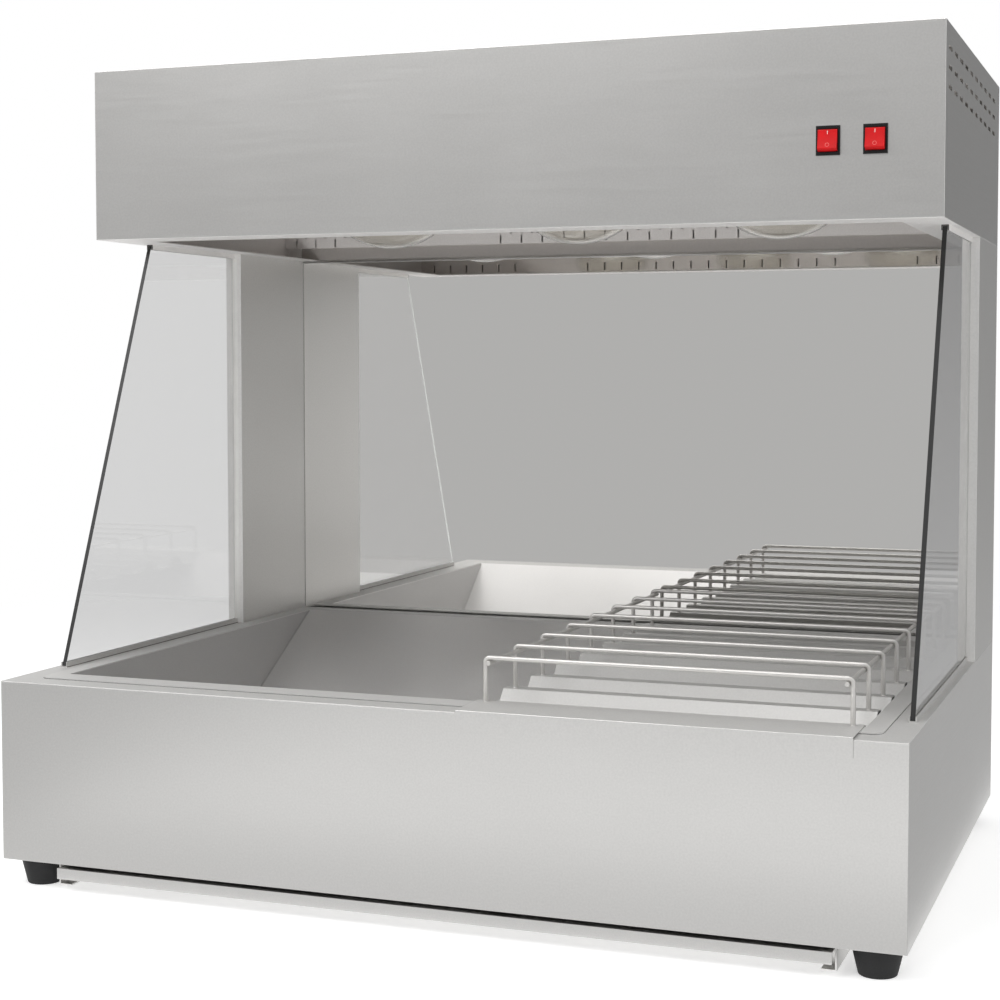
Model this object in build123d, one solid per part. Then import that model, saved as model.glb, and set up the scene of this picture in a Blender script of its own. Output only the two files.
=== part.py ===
from build123d import *
import os
from math import atan2, cos, radians, sin, tan

# Counter-top chip scuttle in stainless sheet, in millimetres. The front faces -Y, +X is to the right seen
# from the front, and Z = 0 is the surface that the feet stand on, under the middle of the cabinet.

# Cabinet
WIDTH = 1000.0
DEPTH = 700.0
FOOT_HEIGHT = 30.0
BASE_HEIGHT = 200.0
OPENING_HEIGHT = 500.0
HOOD_HEIGHT = 200.0
HOOD_DEPTH = 500.0
SHEET = 1.2
EDGE_ROUND = 0.8

# Base panels and feet
FRONT_RETURN = 60.0
SIDE_RETURN = 90.0
REAR_FLANGE = 20.0
FLOOR_LEDGE = 8.0
FOOT_TOP_DIAMETER = 52.0
FOOT_TIP_DIAMETER = 37.5
FOOT_INSET = 32.5
FOOT_ROUND = 1.5
BOLT_DIAMETER = 8.0
BOLT_PLAY = 0.25
BOLT_HEAD_DIAMETER = 14.0
BOLT_HEAD_HEIGHT = 5.5
WASHER_DIAMETER = 17.0
WASHER_THICKNESS = 1.5
WASHER_PLAY = 0.5
NUT_HEIGHT = 6.5
BOLT_END = 2.0
FOOT_BORE_DEPTH = 12.0

# Crumb tray and its runners
RUNNER_FOOT_GAP = 9.0
RUNNER_SHEET = 1.5
RUNNER_CLEARANCE = 5.0
RUNNER_FLANGE = 15.0
RUNNER_SETBACK = 9.0
RUNNER_BACK = 51.0
TRAY_SHEET = 1.0
TRAY_PLAY = 1.5
TRAY_DROP = 4.3
TRAY_BACK = 75.0
TRAY_LIP_REACH = 25.0
TRAY_LIP_DROP = 12.0

# Chip pan
SEAT_GAP = 0.2
PAN_SHEET = 1.0
PAN_DEPTH = 150.0
PAN_MARGIN = 30.0
PAN_POST_GAP = 5.0
PAN_BACK_GAP = 12.0
RIM_SIDE = 20.0
RIM_FRONT = 30.0
RIM_BACK = 24.0
RIM_RADIUS = 12.0
CHUTE_ANGLE = 30.5
FRONT_ANGLE = 41.0
WELL_CLEARANCE = 3.0
DRAIN_LENGTH = 40.0
DRAIN_WIDTH = 3.5
DRAIN_PITCH_X = 60.0
DRAIN_PITCH_Y = 70.0
DRAIN_MARGIN = 30.0

# Bag rack
RACK_SHEET = 1.0
RACK_WIDTH = 402.0
RACK_PLAY = 2.0
RIDGE_COUNT = 6
RIDGE_CREST = 16.0
RIDGE_DEPTH = 18.0
FIRST_BOW = 56.5
LAST_BOW = 9.5
LAST_VALLEY = 9.5
CHUTE_CLEARANCE = 5.8
HOOK_DROP = 20.0
HOOK_GAP = 0.3
BOW_WIRE = 5.0
BOW_HEIGHT = 48.0
BOW_BEND = 4.8
BOW_INSET = 10.5
RAIL_WIRE = 5.0
RAIL_OVERHANG = 6.0
RAIL_ROUND = 0.8
WELD_GAP = 0.05

# Posts, glass and back
POST_WIDTH = 25.0
POST_DEPTH = 190.0
GROOVE_DEPTH = 8.0
GROOVE_PLAY = 0.5
GLASS_THICKNESS = 5.0
GLASS_FOOT = 104.0
GLASS_HEAD = 300.0
GLASS_SEAT = 0.3
CHANNEL_HEIGHT = 6.0
CHANNEL_WALL = 1.2
CHANNEL_PLAY = 0.3
MIRROR_SETBACK = 4.0

# Hood
HOOD_LIP = 50.0
VENT_ROWS = 3
VENT_COLUMNS = 10
VENT_LENGTH = 28.0
VENT_HEIGHT = 5.0
VENT_BACK = 60.0
VENT_PITCH_Z = 20.0
VENT_TOP = 25.0
VENT_FRONT = 35.0
LINER_SHEET = 1.0
LINER_SETBACK = 10.0
LINER_RISE = 18.0
LINER_SLOT_WIDTH = 2.2
LINER_SLOT_HEIGHT = 11.0
LINER_SLOT_PITCH = 30.5
LINER_SLOT_WEB = 1.5
LINER_GROUP_INSET = 17.0
LINER_END_SLOTS = 3
LINER_MIDDLE_SLOTS = 12
GUARD_FOOT = 10.0
GUARD_SWITCH_GAP = 8.0
GUARD_SLOT_RISE = 4.3
GUARD_SLOT_HEIGHT = 12.5
GUARD_SLOT_PITCH = 29.0
GUARD_GROUP_INSET = 24.0
GUARD_END_SLOTS = 6
GUARD_MIDDLE_SLOTS = 15

# Infrared lamps
LAMP_COUNT = 3
LAMP_PITCH = 260.0
LAMP_FROM_BACK = 175.0
LAMP_RAIL_DROP = 11.8
LAMP_DIAMETER = 125.0
LAMP_SHOULDER = 9.5
LAMP_DOME_RISE = 15.0
LAMP_SHOULDER_RISE = 34.0
LAMP_THROAT_DIAMETER = 40.0
LAMP_THROAT_RISE = 118.0
LAMP_NECK_DIAMETER = 34.0
LAMP_NECK_RISE = 148.0
LAMP_WALL = 1.0
CAP_DIAMETER = 26.6
CAP_COLLAR = 2.0
CAP_LENGTH = 23.0
CAP_TIP_DIAMETER = 10.0
CAP_TIP = 2.0
HOLDER_DIAMETER = 46.0
HOLDER_PLAY = 0.3
HOLDER_MOUTH = 1.0
HOLDER_ROOM = 3.0
HOLDER_ROOF = 5.0
HOLDER_ROUND = 3.0
LAMP_RAIL_WIDTH = 60.0
LAMP_RAIL_INSET = 20.0

# Rocker switches
SWITCH_INSET = 70.3
SWITCH_PITCH = 48.9
SWITCH_RISE = 82.0
BEZEL_LIP = 1.0
BEZEL_END_LIP = 1.25
BEZEL_PROUD = 2.0
BEZEL_ROUND = 0.6
SWITCH_WALL = 1.2
SWITCH_END_WALL = 2.1
SWITCH_BODY_DEPTH = 18.0
SWITCH_CAVITY_DEPTH = 12.0
CUTOUT_PLAY = 0.1
ROCKER_WIDTH = 20.0
ROCKER_RADIUS = 11.6
ROCKER_PLAY = 0.3
ROCKER_TILT = 9.0
ROCKER_PROUD = 6.5
ROCKER_DISH = 0.8
ROCKER_ROUND = 0.7
ROCKER_BACK = 5.0
PIVOT_SETBACK = 0.5
PIVOT_DIAMETER = 2.4
PIVOT_LENGTH = 1.0
PIVOT_PLAY = 0.05
TAB_WIDTH = 6.3
TAB_THICKNESS = 0.8
TAB_LENGTH = 9.0
TAB_PITCH = 8.0

# Power inlet, terminal block and rear screws
INLET_INSET = 150.0
INLET_RISE = 70.0
INLET_FLANGE_WIDTH = 31.0
INLET_FLANGE_HEIGHT = 25.0
INLET_FLANGE = 1.3
INLET_BODY_WIDTH = 27.0
INLET_BODY_HEIGHT = 20.0
INLET_BODY_DEPTH = 22.0
INLET_WALL = 1.5
INLET_ROUND = 3.0
INLET_SOCKET_DEPTH = 16.0
PIN_WIDTH = 4.0
PIN_THICKNESS = 2.0
PIN_LENGTH = 10.0
PIN_PITCH = 7.0
PIN_STEP = 2.0
BLOCK_INSET = 100.0
BLOCK_FROM_BACK = 50.0
BLOCK_WIDTH = 48.0
BLOCK_DEPTH = 20.0
BLOCK_HEIGHT = 16.0
BLOCK_WAYS = 4
BLOCK_BORE = 5.0
SCREW_DIAMETER = 4.0
SCREW_PLAY = 0.1
SCREW_HEAD_DIAMETER = 8.0
SCREW_HEAD = 1.3
SCREW_LENGTH = 7.0
SCREW_END = 40.0

# Levels and faces that several pieces share
HALF = WIDTH / 2
FRONT = -DEPTH / 2
BACK = DEPTH / 2
HOOD_FRONT = BACK - HOOD_DEPTH
FLOOR_Z = FOOT_HEIGHT
DECK_Z = FLOOR_Z + BASE_HEIGHT
HOOD_Z = DECK_Z + OPENING_HEIGHT
TOP_Z = HOOD_Z + HOOD_HEIGHT
INNER = HALF - SHEET
REAR_FACE = BACK - SHEET

nodes = {}


def slab(x, y, z):
    """A block between a low and a high value on each axis."""
    (x0, x1), (y0, y1), (z0, z1) = x, y, z
    return Pos((x0 + x1) / 2, (y0 + y1) / 2, (z0 + z1) / 2) * Box(x1 - x0, y1 - y0, z1 - z0)


def across(points, x0, x1):
    """A side outline, given as (y, z) points, carried from x0 to x1."""
    outline = make_face(Polyline(*points, close=True))
    return Plane.YZ.offset(x0) * extrude(outline, x1 - x0)


def rod(radius, start, end):
    """A round bar between two points."""
    axis = Vector(*end) - Vector(*start)
    return extrude(Plane(origin=start, z_dir=axis) * Circle(radius), axis.length)


def both_sides(name, right):
    """Stores a piece of the right side and its mirror image on the left."""
    nodes[name + "_right"] = right
    nodes[name + "_left"] = mirror(right, about=Plane.YZ)


def rounded_front(panel):
    """Eases the outer front edges of a front panel: its upright corners and its lower bend."""
    face = panel.faces().sort_by(Axis.Y)[0]
    top = face.edges().sort_by(Axis.Z)[-1]
    return fillet([edge for edge in face.edges() if edge.center() != top.center()], EDGE_ROUND)


def rounded_top(plate):
    """Eases the upper outer edges of a plate, where the sheet bends down."""
    return fillet(plate.edges().group_by(Axis.Z)[-1], EDGE_ROUND)


# Rear screws: they hold the three rear panels to the flanges of the sides and to the posts.
screw_x = HALF - POST_WIDTH / 2
base_screw_z = [FLOOR_Z + SCREW_END, DECK_Z - SCREW_END]
post_screw_z = [DECK_Z + SCREW_END, (DECK_Z + HOOD_Z) / 2, HOOD_Z - SCREW_END]
hood_screw_z = [HOOD_Z + SCREW_END, TOP_Z - SCREW_END]


def screw_holes(heights):
    """Clearance holes for a column of rear screws on each side."""
    radius = SCREW_DIAMETER / 2 + SCREW_PLAY
    start, end = REAR_FACE - SCREW_LENGTH, BACK + SCREW_HEAD
    return [rod(radius, (x, start, z), (x, end, z)) for x in (-screw_x, screw_x) for z in heights]


def rear_screw(x, z):
    """A pan-head screw, driven from behind."""
    head = rod(SCREW_HEAD_DIAMETER / 2, (x, BACK, z), (x, BACK + SCREW_HEAD, z))
    head = fillet(head.edges().sort_by(Axis.Y)[-1], EDGE_ROUND)
    return head + rod(SCREW_DIAMETER / 2, (x, BACK - SCREW_LENGTH, z), (x, BACK, z))


screw_z = base_screw_z + post_screw_z + hood_screw_z
nodes["rear_screws"] = Compound([rear_screw(x, z) for x in (-screw_x, screw_x) for z in screw_z])

# Feet and their bolts: each bolt goes up through the foot, the panel's return and the floor plate.
foot_places = [
    ("front_left", -HALF + FOOT_INSET, FRONT + FOOT_INSET),
    ("front_right", HALF - FOOT_INSET, FRONT + FOOT_INSET),
    ("rear_left", -HALF + FOOT_INSET, BACK - FOOT_INSET),
    ("rear_right", HALF - FOOT_INSET, BACK - FOOT_INSET),
]
floor_top = FLOOR_Z + 2 * SHEET
nut_top = floor_top + NUT_HEIGHT
bolt_hole = BOLT_DIAMETER / 2 + BOLT_PLAY
foot_holes = [rod(bolt_hole, (x, y, 0), (x, y, nut_top)) for _, x, y in foot_places]


def foot():
    """A tapered rubber foot with a counterbore for the bolt's head."""
    body = Pos(0, 0, FOOT_HEIGHT / 2) * Cone(FOOT_TIP_DIAMETER / 2, FOOT_TOP_DIAMETER / 2, FOOT_HEIGHT)
    body = fillet(body.edges().sort_by(Axis.Z)[0], FOOT_ROUND)
    bore = rod(WASHER_DIAMETER / 2 + WASHER_PLAY, (0, 0, 0), (0, 0, FOOT_BORE_DEPTH))
    return body - bore - rod(bolt_hole, (0, 0, 0), (0, 0, FOOT_HEIGHT))


def foot_bolt():
    """A bolt with its washer under the head, and the nut that holds it above the floor plate."""
    head_z = FOOT_BORE_DEPTH - WASHER_THICKNESS
    washer = rod(WASHER_DIAMETER / 2, (0, 0, head_z), (0, 0, FOOT_BORE_DEPTH))
    washer -= rod(bolt_hole, (0, 0, 0), (0, 0, FOOT_BORE_DEPTH))
    head = extrude(RegularPolygon(BOLT_HEAD_DIAMETER / 2, 6), BOLT_HEAD_HEIGHT)
    head = Pos(0, 0, head_z - BOLT_HEAD_HEIGHT) * head
    bolt = head + rod(BOLT_DIAMETER / 2, (0, 0, head_z), (0, 0, nut_top + BOLT_END))
    nut = Pos(0, 0, floor_top) * extrude(RegularPolygon(BOLT_HEAD_DIAMETER / 2, 6), NUT_HEIGHT)
    nut -= rod(bolt_hole, (0, 0, floor_top), (0, 0, nut_top))
    return [bolt, washer, nut]


for place, x, y in foot_places:
    nodes["foot_" + place] = Pos(x, y, 0) * foot()
nodes["foot_bolts"] = Compound([Pos(x, y, 0) * piece for _, x, y in foot_places for piece in foot_bolt()])

# Base box: four folded panels under the deck, with the floor plate lying on their bottom returns.
wall_z = (FLOOR_Z, DECK_Z - SHEET)
return_z = (FLOOR_Z, FLOOR_Z + SHEET)
front_return_end = FRONT + SHEET + FRONT_RETURN

base_front = rounded_front(slab((-HALF, HALF), (FRONT, FRONT + SHEET), wall_z))
base_front += slab((-INNER, INNER), (FRONT + SHEET, front_return_end), return_z)
nodes["base_front"] = base_front - foot_holes

base_side = slab((INNER, HALF), (FRONT + SHEET, REAR_FACE), wall_z)
base_side += slab((INNER - SIDE_RETURN, INNER), (front_return_end, REAR_FACE), return_z)
base_side += slab((INNER - REAR_FLANGE, INNER), (REAR_FACE - SHEET, REAR_FACE), wall_z)
both_sides("base_side", base_side - foot_holes - screw_holes(base_screw_z))

# Chip pan: a flat rim on the deck, upright sides, a sloping front and a long sloping back.
pan_top = DECK_Z + SEAT_GAP + PAN_SHEET
pan_floor = pan_top - PAN_DEPTH
rim_x = HALF - POST_WIDTH - PAN_POST_GAP
rim_y = (FRONT + PAN_MARGIN, BACK - MIRROR_SETBACK - PAN_BACK_GAP)
bay_x = rim_x - RIM_SIDE
bay_front = rim_y[0] + RIM_FRONT
bay_back = rim_y[1] - RIM_BACK
chute = radians(CHUTE_ANGLE)
chute_foot = bay_back - PAN_DEPTH / tan(chute)
front_slope = radians(FRONT_ANGLE)
front_foot = bay_front + PAN_DEPTH / tan(front_slope)

inside = [(bay_front, pan_top), (front_foot, pan_floor), (chute_foot, pan_floor), (bay_back, pan_top)]
outside = [
    (bay_front - PAN_SHEET / sin(front_slope), pan_top),
    (front_foot - PAN_SHEET * tan(front_slope / 2), pan_floor - PAN_SHEET),
    (chute_foot + PAN_SHEET * tan(chute / 2), pan_floor - PAN_SHEET),
    (bay_back + PAN_SHEET / sin(chute), pan_top),
]
rim_mid = (rim_y[0] + rim_y[1]) / 2
rim = extrude(RectangleRounded(2 * rim_x, rim_y[1] - rim_y[0], RIM_RADIUS), PAN_SHEET)
pan = Pos(0, rim_mid, pan_top - PAN_SHEET) * rim + across(outside, -bay_x - PAN_SHEET, bay_x + PAN_SHEET)
pan -= across(inside, -bay_x, bay_x)

drain_columns = int((2 * bay_x - 2 * DRAIN_MARGIN) // DRAIN_PITCH_X) + 1
drain_rows = int((chute_foot - front_foot - 2 * DRAIN_MARGIN - DRAIN_LENGTH) // DRAIN_PITCH_Y) + 1
drain_middle = (front_foot + chute_foot) / 2
drain = Rot(0, 0, 90) * extrude(SlotOverall(DRAIN_LENGTH, DRAIN_WIDTH), 3 * PAN_SHEET)
drains = [
    Pos(
        (column - (drain_columns - 1) / 2) * DRAIN_PITCH_X,
        drain_middle + (row - (drain_rows - 1) / 2) * DRAIN_PITCH_Y,
        pan_floor - 2 * PAN_SHEET,
    )
    * drain
    for column in range(drain_columns)
    for row in range(drain_rows)
]
nodes["pan"] = pan - drains

# Deck, floor plate and base back: the deck is welded up from four strips round the well that clears the pan,
# with an air slot between the pan's rim and the mirror, and the floor opens over the crumb tray.
well_x = bay_x + PAN_SHEET + WELL_CLEARANCE
well_front = bay_front - PAN_SHEET / sin(front_slope) - WELL_CLEARANCE
well_y = (well_front, bay_back + PAN_SHEET / sin(chute) + WELL_CLEARANCE)
deck = rounded_top(slab((-HALF, HALF), (FRONT, BACK), (DECK_Z - SHEET, DECK_Z)))
deck_cut_z = (DECK_Z - 2 * SHEET, DECK_Z + SHEET)
deck -= slab((-rim_x, rim_x), (rim_y[1], BACK - MIRROR_SETBACK), deck_cut_z)
strips = [
    slab((-HALF, HALF), (FRONT, well_y[0]), deck_cut_z),
    slab((-HALF, HALF), (well_y[1], BACK), deck_cut_z),
    slab((-HALF, -well_x), well_y, deck_cut_z),
    slab((well_x, HALF), well_y, deck_cut_z),
]
nodes["deck"] = Compound([solid for strip in strips for solid in (deck & strip).solids()])

floor_open_x = INNER - SIDE_RETURN - FLOOR_LEDGE
floor_open_y = (front_return_end + FLOOR_LEDGE, chute_foot)
floor = slab((-INNER, INNER), (FRONT + SHEET, REAR_FACE - SHEET), (FLOOR_Z + SHEET, floor_top))
floor -= slab((-floor_open_x, floor_open_x), floor_open_y, (FLOOR_Z, floor_top + SHEET))
nodes["base_floor"] = floor - foot_holes

inlet_x = -HALF + INLET_INSET
inlet_z = FLOOR_Z + INLET_RISE
inlet_hole = slab(
    (inlet_x - INLET_BODY_WIDTH / 2 - CUTOUT_PLAY, inlet_x + INLET_BODY_WIDTH / 2 + CUTOUT_PLAY),
    (REAR_FACE - SHEET, BACK + SHEET),
    (inlet_z - INLET_BODY_HEIGHT / 2 - CUTOUT_PLAY, inlet_z + INLET_BODY_HEIGHT / 2 + CUTOUT_PLAY),
)
base_back = slab((-HALF, HALF), (REAR_FACE, BACK), wall_z)
nodes["base_back"] = base_back - inlet_hole - screw_holes(base_screw_z)

# Power inlet: a black socket snapped into the base back, with three flat pins.
inlet_flange = slab(
    (-INLET_FLANGE_WIDTH / 2, INLET_FLANGE_WIDTH / 2),
    (BACK, BACK + INLET_FLANGE),
    (-INLET_FLANGE_HEIGHT / 2, INLET_FLANGE_HEIGHT / 2),
)
inlet_flange = fillet(inlet_flange.edges().filter_by(Axis.Y), INLET_ROUND)
socket_x = INLET_BODY_WIDTH / 2 - INLET_WALL
socket_z = INLET_BODY_HEIGHT / 2 - INLET_WALL
socket_end = BACK - INLET_SOCKET_DEPTH
inlet = inlet_flange + slab(
    (-INLET_BODY_WIDTH / 2, INLET_BODY_WIDTH / 2),
    (BACK - INLET_BODY_DEPTH, BACK),
    (-INLET_BODY_HEIGHT / 2, INLET_BODY_HEIGHT / 2),
)
inlet -= slab((-socket_x, socket_x), (socket_end, BACK + 2 * INLET_FLANGE), (-socket_z, socket_z))
nodes["power_inlet"] = Pos(inlet_x, 0, inlet_z) * inlet

pin = slab(
    (-PIN_THICKNESS / 2, PIN_THICKNESS / 2),
    (socket_end, socket_end + PIN_LENGTH),
    (-PIN_WIDTH / 2, PIN_WIDTH / 2),
)
pin_places = [(-PIN_PITCH, -PIN_STEP), (0, PIN_STEP), (PIN_PITCH, -PIN_STEP)]
nodes["inlet_pins"] = Compound([Pos(inlet_x + x, 0, inlet_z + z) * pin for x, z in pin_places])

# Tray runners: bent channels under the base, open towards each other.
runner_x = HALF - FOOT_INSET - FOOT_TOP_DIAMETER / 2 - RUNNER_FOOT_GAP
runner_y = (FRONT + RUNNER_SETBACK, BACK - RUNNER_BACK)
runner_z = RUNNER_CLEARANCE
flange_x = (runner_x - RUNNER_FLANGE, runner_x)
runner = slab((runner_x - RUNNER_SHEET, runner_x), runner_y, (runner_z, FLOOR_Z))
runner += slab(flange_x, runner_y, (runner_z, runner_z + RUNNER_SHEET))
runner += slab(flange_x, runner_y, (FLOOR_Z - RUNNER_SHEET, FLOOR_Z))
both_sides("tray_runner", runner)

# Crumb tray: a shallow tray on the runners, with a front lip turned down as a finger pull.
tray_x = runner_x - RUNNER_SHEET - TRAY_PLAY
tray_y = (FRONT + TRAY_LIP_REACH, BACK - TRAY_BACK)
tray_z = (runner_z + RUNNER_SHEET + SEAT_GAP, FLOOR_Z - TRAY_DROP)
tray = slab((-tray_x, tray_x), tray_y, tray_z)
tray -= slab(
    (-tray_x + TRAY_SHEET, tray_x - TRAY_SHEET),
    (tray_y[0] + TRAY_SHEET, tray_y[1] - TRAY_SHEET),
    (tray_z[0] + TRAY_SHEET, tray_z[1] + TRAY_SHEET),
)
tray += slab((-tray_x, tray_x), (FRONT, tray_y[0]), (tray_z[1] - TRAY_SHEET, tray_z[1]))
tray += slab((-tray_x, tray_x), (FRONT, FRONT + TRAY_SHEET), (tray_z[1] - TRAY_LIP_DROP, tray_z[1]))
nodes["crumb_tray"] = tray

# Bag rack sheet: a front land hooked over the base's edge, folded ridges with flat strips welded between
# them, and a back land on the rim.
rack_top = pan_top + SEAT_GAP + RACK_SHEET
rack_under = rack_top - RACK_SHEET
rack_x = (bay_x - RACK_PLAY - RACK_WIDTH, bay_x - RACK_PLAY)
rack_back = rim_y[1] - RACK_PLAY
valley_top = rack_top - RIDGE_DEPTH
valley_under = valley_top - RACK_SHEET
valley_end = bay_back - (pan_top - valley_under + CHUTE_CLEARANCE) / tan(chute)
first_bow_y = FRONT + FIRST_BOW
last_ridge_y = valley_end - LAST_VALLEY - RIDGE_DEPTH - RIDGE_CREST / 2
ridge_pitch = (last_ridge_y - first_bow_y) / RIDGE_COUNT
bow_y = [first_bow_y + i * ridge_pitch for i in range(RIDGE_COUNT + 1)] + [rack_back - LAST_BOW]
half_crest = RIDGE_CREST / 2
half_ridge = half_crest + RIDGE_DEPTH
bend = RACK_SHEET * tan(radians(45) / 2)


def slope(y, way):
    """The folded edge of a land: its upper points down to the valley, then its lower points back up."""
    foot_y = y + way * RIDGE_DEPTH
    over = [(y, rack_top), (foot_y, valley_top), (foot_y, valley_under)]
    return over + [(foot_y - way * bend, valley_under), (y - way * bend, rack_under)]


hook_y = FRONT - HOOK_GAP
hook_tip = rack_top - HOOK_DROP
front_land = [(hook_y, rack_under), (hook_y, hook_tip), (hook_y - RACK_SHEET, hook_tip)]
front_land += [(hook_y - RACK_SHEET, rack_top)] + slope(first_bow_y + half_crest, 1)
back_land = slope(valley_end + RIDGE_DEPTH, -1) + [(rack_back, rack_under), (rack_back, rack_top)]
ridges = [slope(y + half_crest, 1) + slope(y - half_crest, -1)[::-1] for y in bow_y[1:-1]]
valley_starts = [y + half_ridge for y in bow_y[:-1]]
valley_ends = [y - half_ridge for y in bow_y[1:-1]] + [valley_end]
rack_strips = [across(outline, *rack_x) for outline in [front_land, *ridges, back_land]]
rack_strips += [
    slab(rack_x, (start, end), (valley_under, valley_top)) for start, end in zip(valley_starts, valley_ends)
]
nodes["rack_sheet"] = Compound(rack_strips)

# Bows and rails: bent wires welded to the lands and crests, tied by a straight wire inside each corner.
leg_x = (rack_x[0] + BOW_INSET, rack_x[1] - BOW_INSET)
bow_top = rack_top + BOW_HEIGHT - BOW_WIRE / 2


def bow(y):
    """An inverted U of round wire that stands on the rack's sheet."""
    corners = [(leg_x[0], rack_top), (leg_x[0], bow_top), (leg_x[1], bow_top), (leg_x[1], rack_top)]
    path = Plane.XZ.offset(-y) * FilletPolyline(*corners, radius=BOW_BEND)
    return sweep(Plane(origin=path @ 0, z_dir=path % 0) * Circle(BOW_WIRE / 2), path=path)


for number, y in enumerate(bow_y, 1):
    nodes[f"rack_bow_{number}"] = bow(y)

rail_offset = (BOW_WIRE + RAIL_WIRE) / 2 + WELD_GAP
rail_z = bow_top - rail_offset
for name, x in (("left", leg_x[0] + rail_offset), ("right", leg_x[1] - rail_offset)):
    rail = rod(RAIL_WIRE / 2, (x, bow_y[0] - RAIL_OVERHANG, rail_z), (x, bow_y[-1] + RAIL_OVERHANG, rail_z))
    nodes["rack_rail_" + name] = fillet(rail.edges().filter_by(GeomType.CIRCLE), RAIL_ROUND)

# Rear posts: folded box columns with a groove down the front for the glass.
post_x = (HALF - POST_WIDTH, HALF)
post_y = (BACK - POST_DEPTH, REAR_FACE)
post_mid = HALF - POST_WIDTH / 2
groove = GLASS_THICKNESS / 2 + GROOVE_PLAY
groove_y = post_y[0] + GROOVE_DEPTH
post_outline = Rectangle(POST_WIDTH, post_y[1] - post_y[0])
post_outline -= Rectangle(POST_WIDTH - 2 * SHEET, post_y[1] - post_y[0] - 2 * SHEET)
post_outline = Pos(post_mid, (post_y[0] + post_y[1]) / 2) * post_outline
post_outline += Pos(post_mid, (post_y[0] + groove_y + SHEET) / 2) * Rectangle(
    2 * (groove + SHEET), GROOVE_DEPTH + SHEET
)
post_outline -= Pos(post_mid, (post_y[0] + groove_y) / 2) * Rectangle(2 * groove, GROOVE_DEPTH)
post = Pos(0, 0, DECK_Z) * extrude(post_outline, OPENING_HEIGHT)
both_sides("post", post - screw_holes(post_screw_z))

# Glass panes and their channels: each pane stands in a channel, ends in the post and has a second one on top.
glass_x = (post_mid - GLASS_THICKNESS / 2, post_mid + GLASS_THICKNESS / 2)
glass_z = (DECK_Z + CHANNEL_WALL + GLASS_SEAT, HOOD_Z - CHANNEL_WALL - GLASS_SEAT)
glass_back = groove_y - GLASS_SEAT
glass_outline = [
    (FRONT + GLASS_FOOT, glass_z[0]),
    (glass_back, glass_z[0]),
    (glass_back, glass_z[1]),
    (FRONT + GLASS_HEAD, glass_z[1]),
]
both_sides("glass", across(glass_outline, *glass_x))

channel_x = GLASS_THICKNESS / 2 + CHANNEL_PLAY


def channel(y_start, outer_z, inner_z):
    """A U-channel along the pane: its outer block less the space for the pane."""
    run = (y_start, post_y[0])
    wall_x = channel_x + CHANNEL_WALL
    body = slab((post_mid - wall_x, post_mid + wall_x), run, outer_z)
    return body - slab((post_mid - channel_x, post_mid + channel_x), run, inner_z)


sill_z = (DECK_Z, DECK_Z + CHANNEL_HEIGHT)
head_z = (HOOD_Z - CHANNEL_HEIGHT, HOOD_Z)
both_sides("glass_sill", channel(FRONT + GLASS_FOOT, sill_z, (DECK_Z + CHANNEL_WALL, sill_z[1])))
both_sides("glass_head", channel(FRONT + GLASS_HEAD, head_z, (head_z[0], HOOD_Z - CHANNEL_WALL)))

# Back: a polished panel folded like a shallow lid, against the outer rear panel.
mirror_x = HALF - POST_WIDTH
mirror_y = BACK - MIRROR_SETBACK
mirror_panel = slab((-mirror_x, mirror_x), (mirror_y, REAR_FACE), (DECK_Z, HOOD_Z))
nodes["mirror_panel"] = mirror_panel - slab(
    (-mirror_x + SHEET, mirror_x - SHEET), (mirror_y + SHEET, BACK), (DECK_Z + SHEET, HOOD_Z - SHEET)
)
rear_panel = slab((-HALF, HALF), (REAR_FACE, BACK), (DECK_Z, HOOD_Z))
nodes["rear_panel"] = rear_panel - screw_holes(post_screw_z)

# Hood: front and vented sides with return lips underneath, a top plate and a screwed back cover.
hood_wall_z = (HOOD_Z, TOP_Z - SHEET)
hood_lip_z = (HOOD_Z, HOOD_Z + SHEET)
hood_lip_end = HOOD_FRONT + HOOD_LIP
switch_z = HOOD_Z + SWITCH_RISE
switches = [("left", HALF - SWITCH_INSET - SWITCH_PITCH), ("right", HALF - SWITCH_INSET)]
cavity_x = ROCKER_WIDTH / 2 + ROCKER_PLAY
cavity_z = ROCKER_RADIUS + ROCKER_PLAY
switch_x = cavity_x + SWITCH_WALL
switch_end = cavity_z + SWITCH_END_WALL
cutout_x = switch_x + CUTOUT_PLAY
cutout_z = switch_end + CUTOUT_PLAY
cutout = slab((-cutout_x, cutout_x), (HOOD_FRONT - SHEET, HOOD_FRONT + 2 * SHEET), (-cutout_z, cutout_z))
cutouts = [Pos(x, 0, switch_z) * cutout for _, x in switches]
hood_front = rounded_front(slab((-HALF, HALF), (HOOD_FRONT, HOOD_FRONT + SHEET), hood_wall_z))
hood_front += slab((-INNER, INNER), (HOOD_FRONT + SHEET, hood_lip_end), hood_lip_z)
nodes["hood_front"] = hood_front - cutouts

vent = Plane.YZ.offset(INNER - SHEET) * extrude(SlotOverall(VENT_LENGTH, VENT_HEIGHT), 3 * SHEET)
vent_pitch = (HOOD_DEPTH - VENT_FRONT - VENT_BACK) / (VENT_COLUMNS - 1)
vents = [
    Pos(0, HOOD_FRONT + VENT_FRONT + column * vent_pitch, TOP_Z - VENT_TOP - row * VENT_PITCH_Z) * vent
    for column in range(VENT_COLUMNS)
    for row in range(VENT_ROWS)
]
hood_side = slab((INNER, HALF), (HOOD_FRONT + SHEET, REAR_FACE), hood_wall_z)
hood_side += slab((HALF - HOOD_LIP, INNER), (hood_lip_end, REAR_FACE), hood_lip_z)
hood_side += slab((INNER - REAR_FLANGE, INNER), (REAR_FACE - SHEET, REAR_FACE), hood_wall_z)
both_sides("hood_side", hood_side - vents - screw_holes(hood_screw_z))

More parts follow.
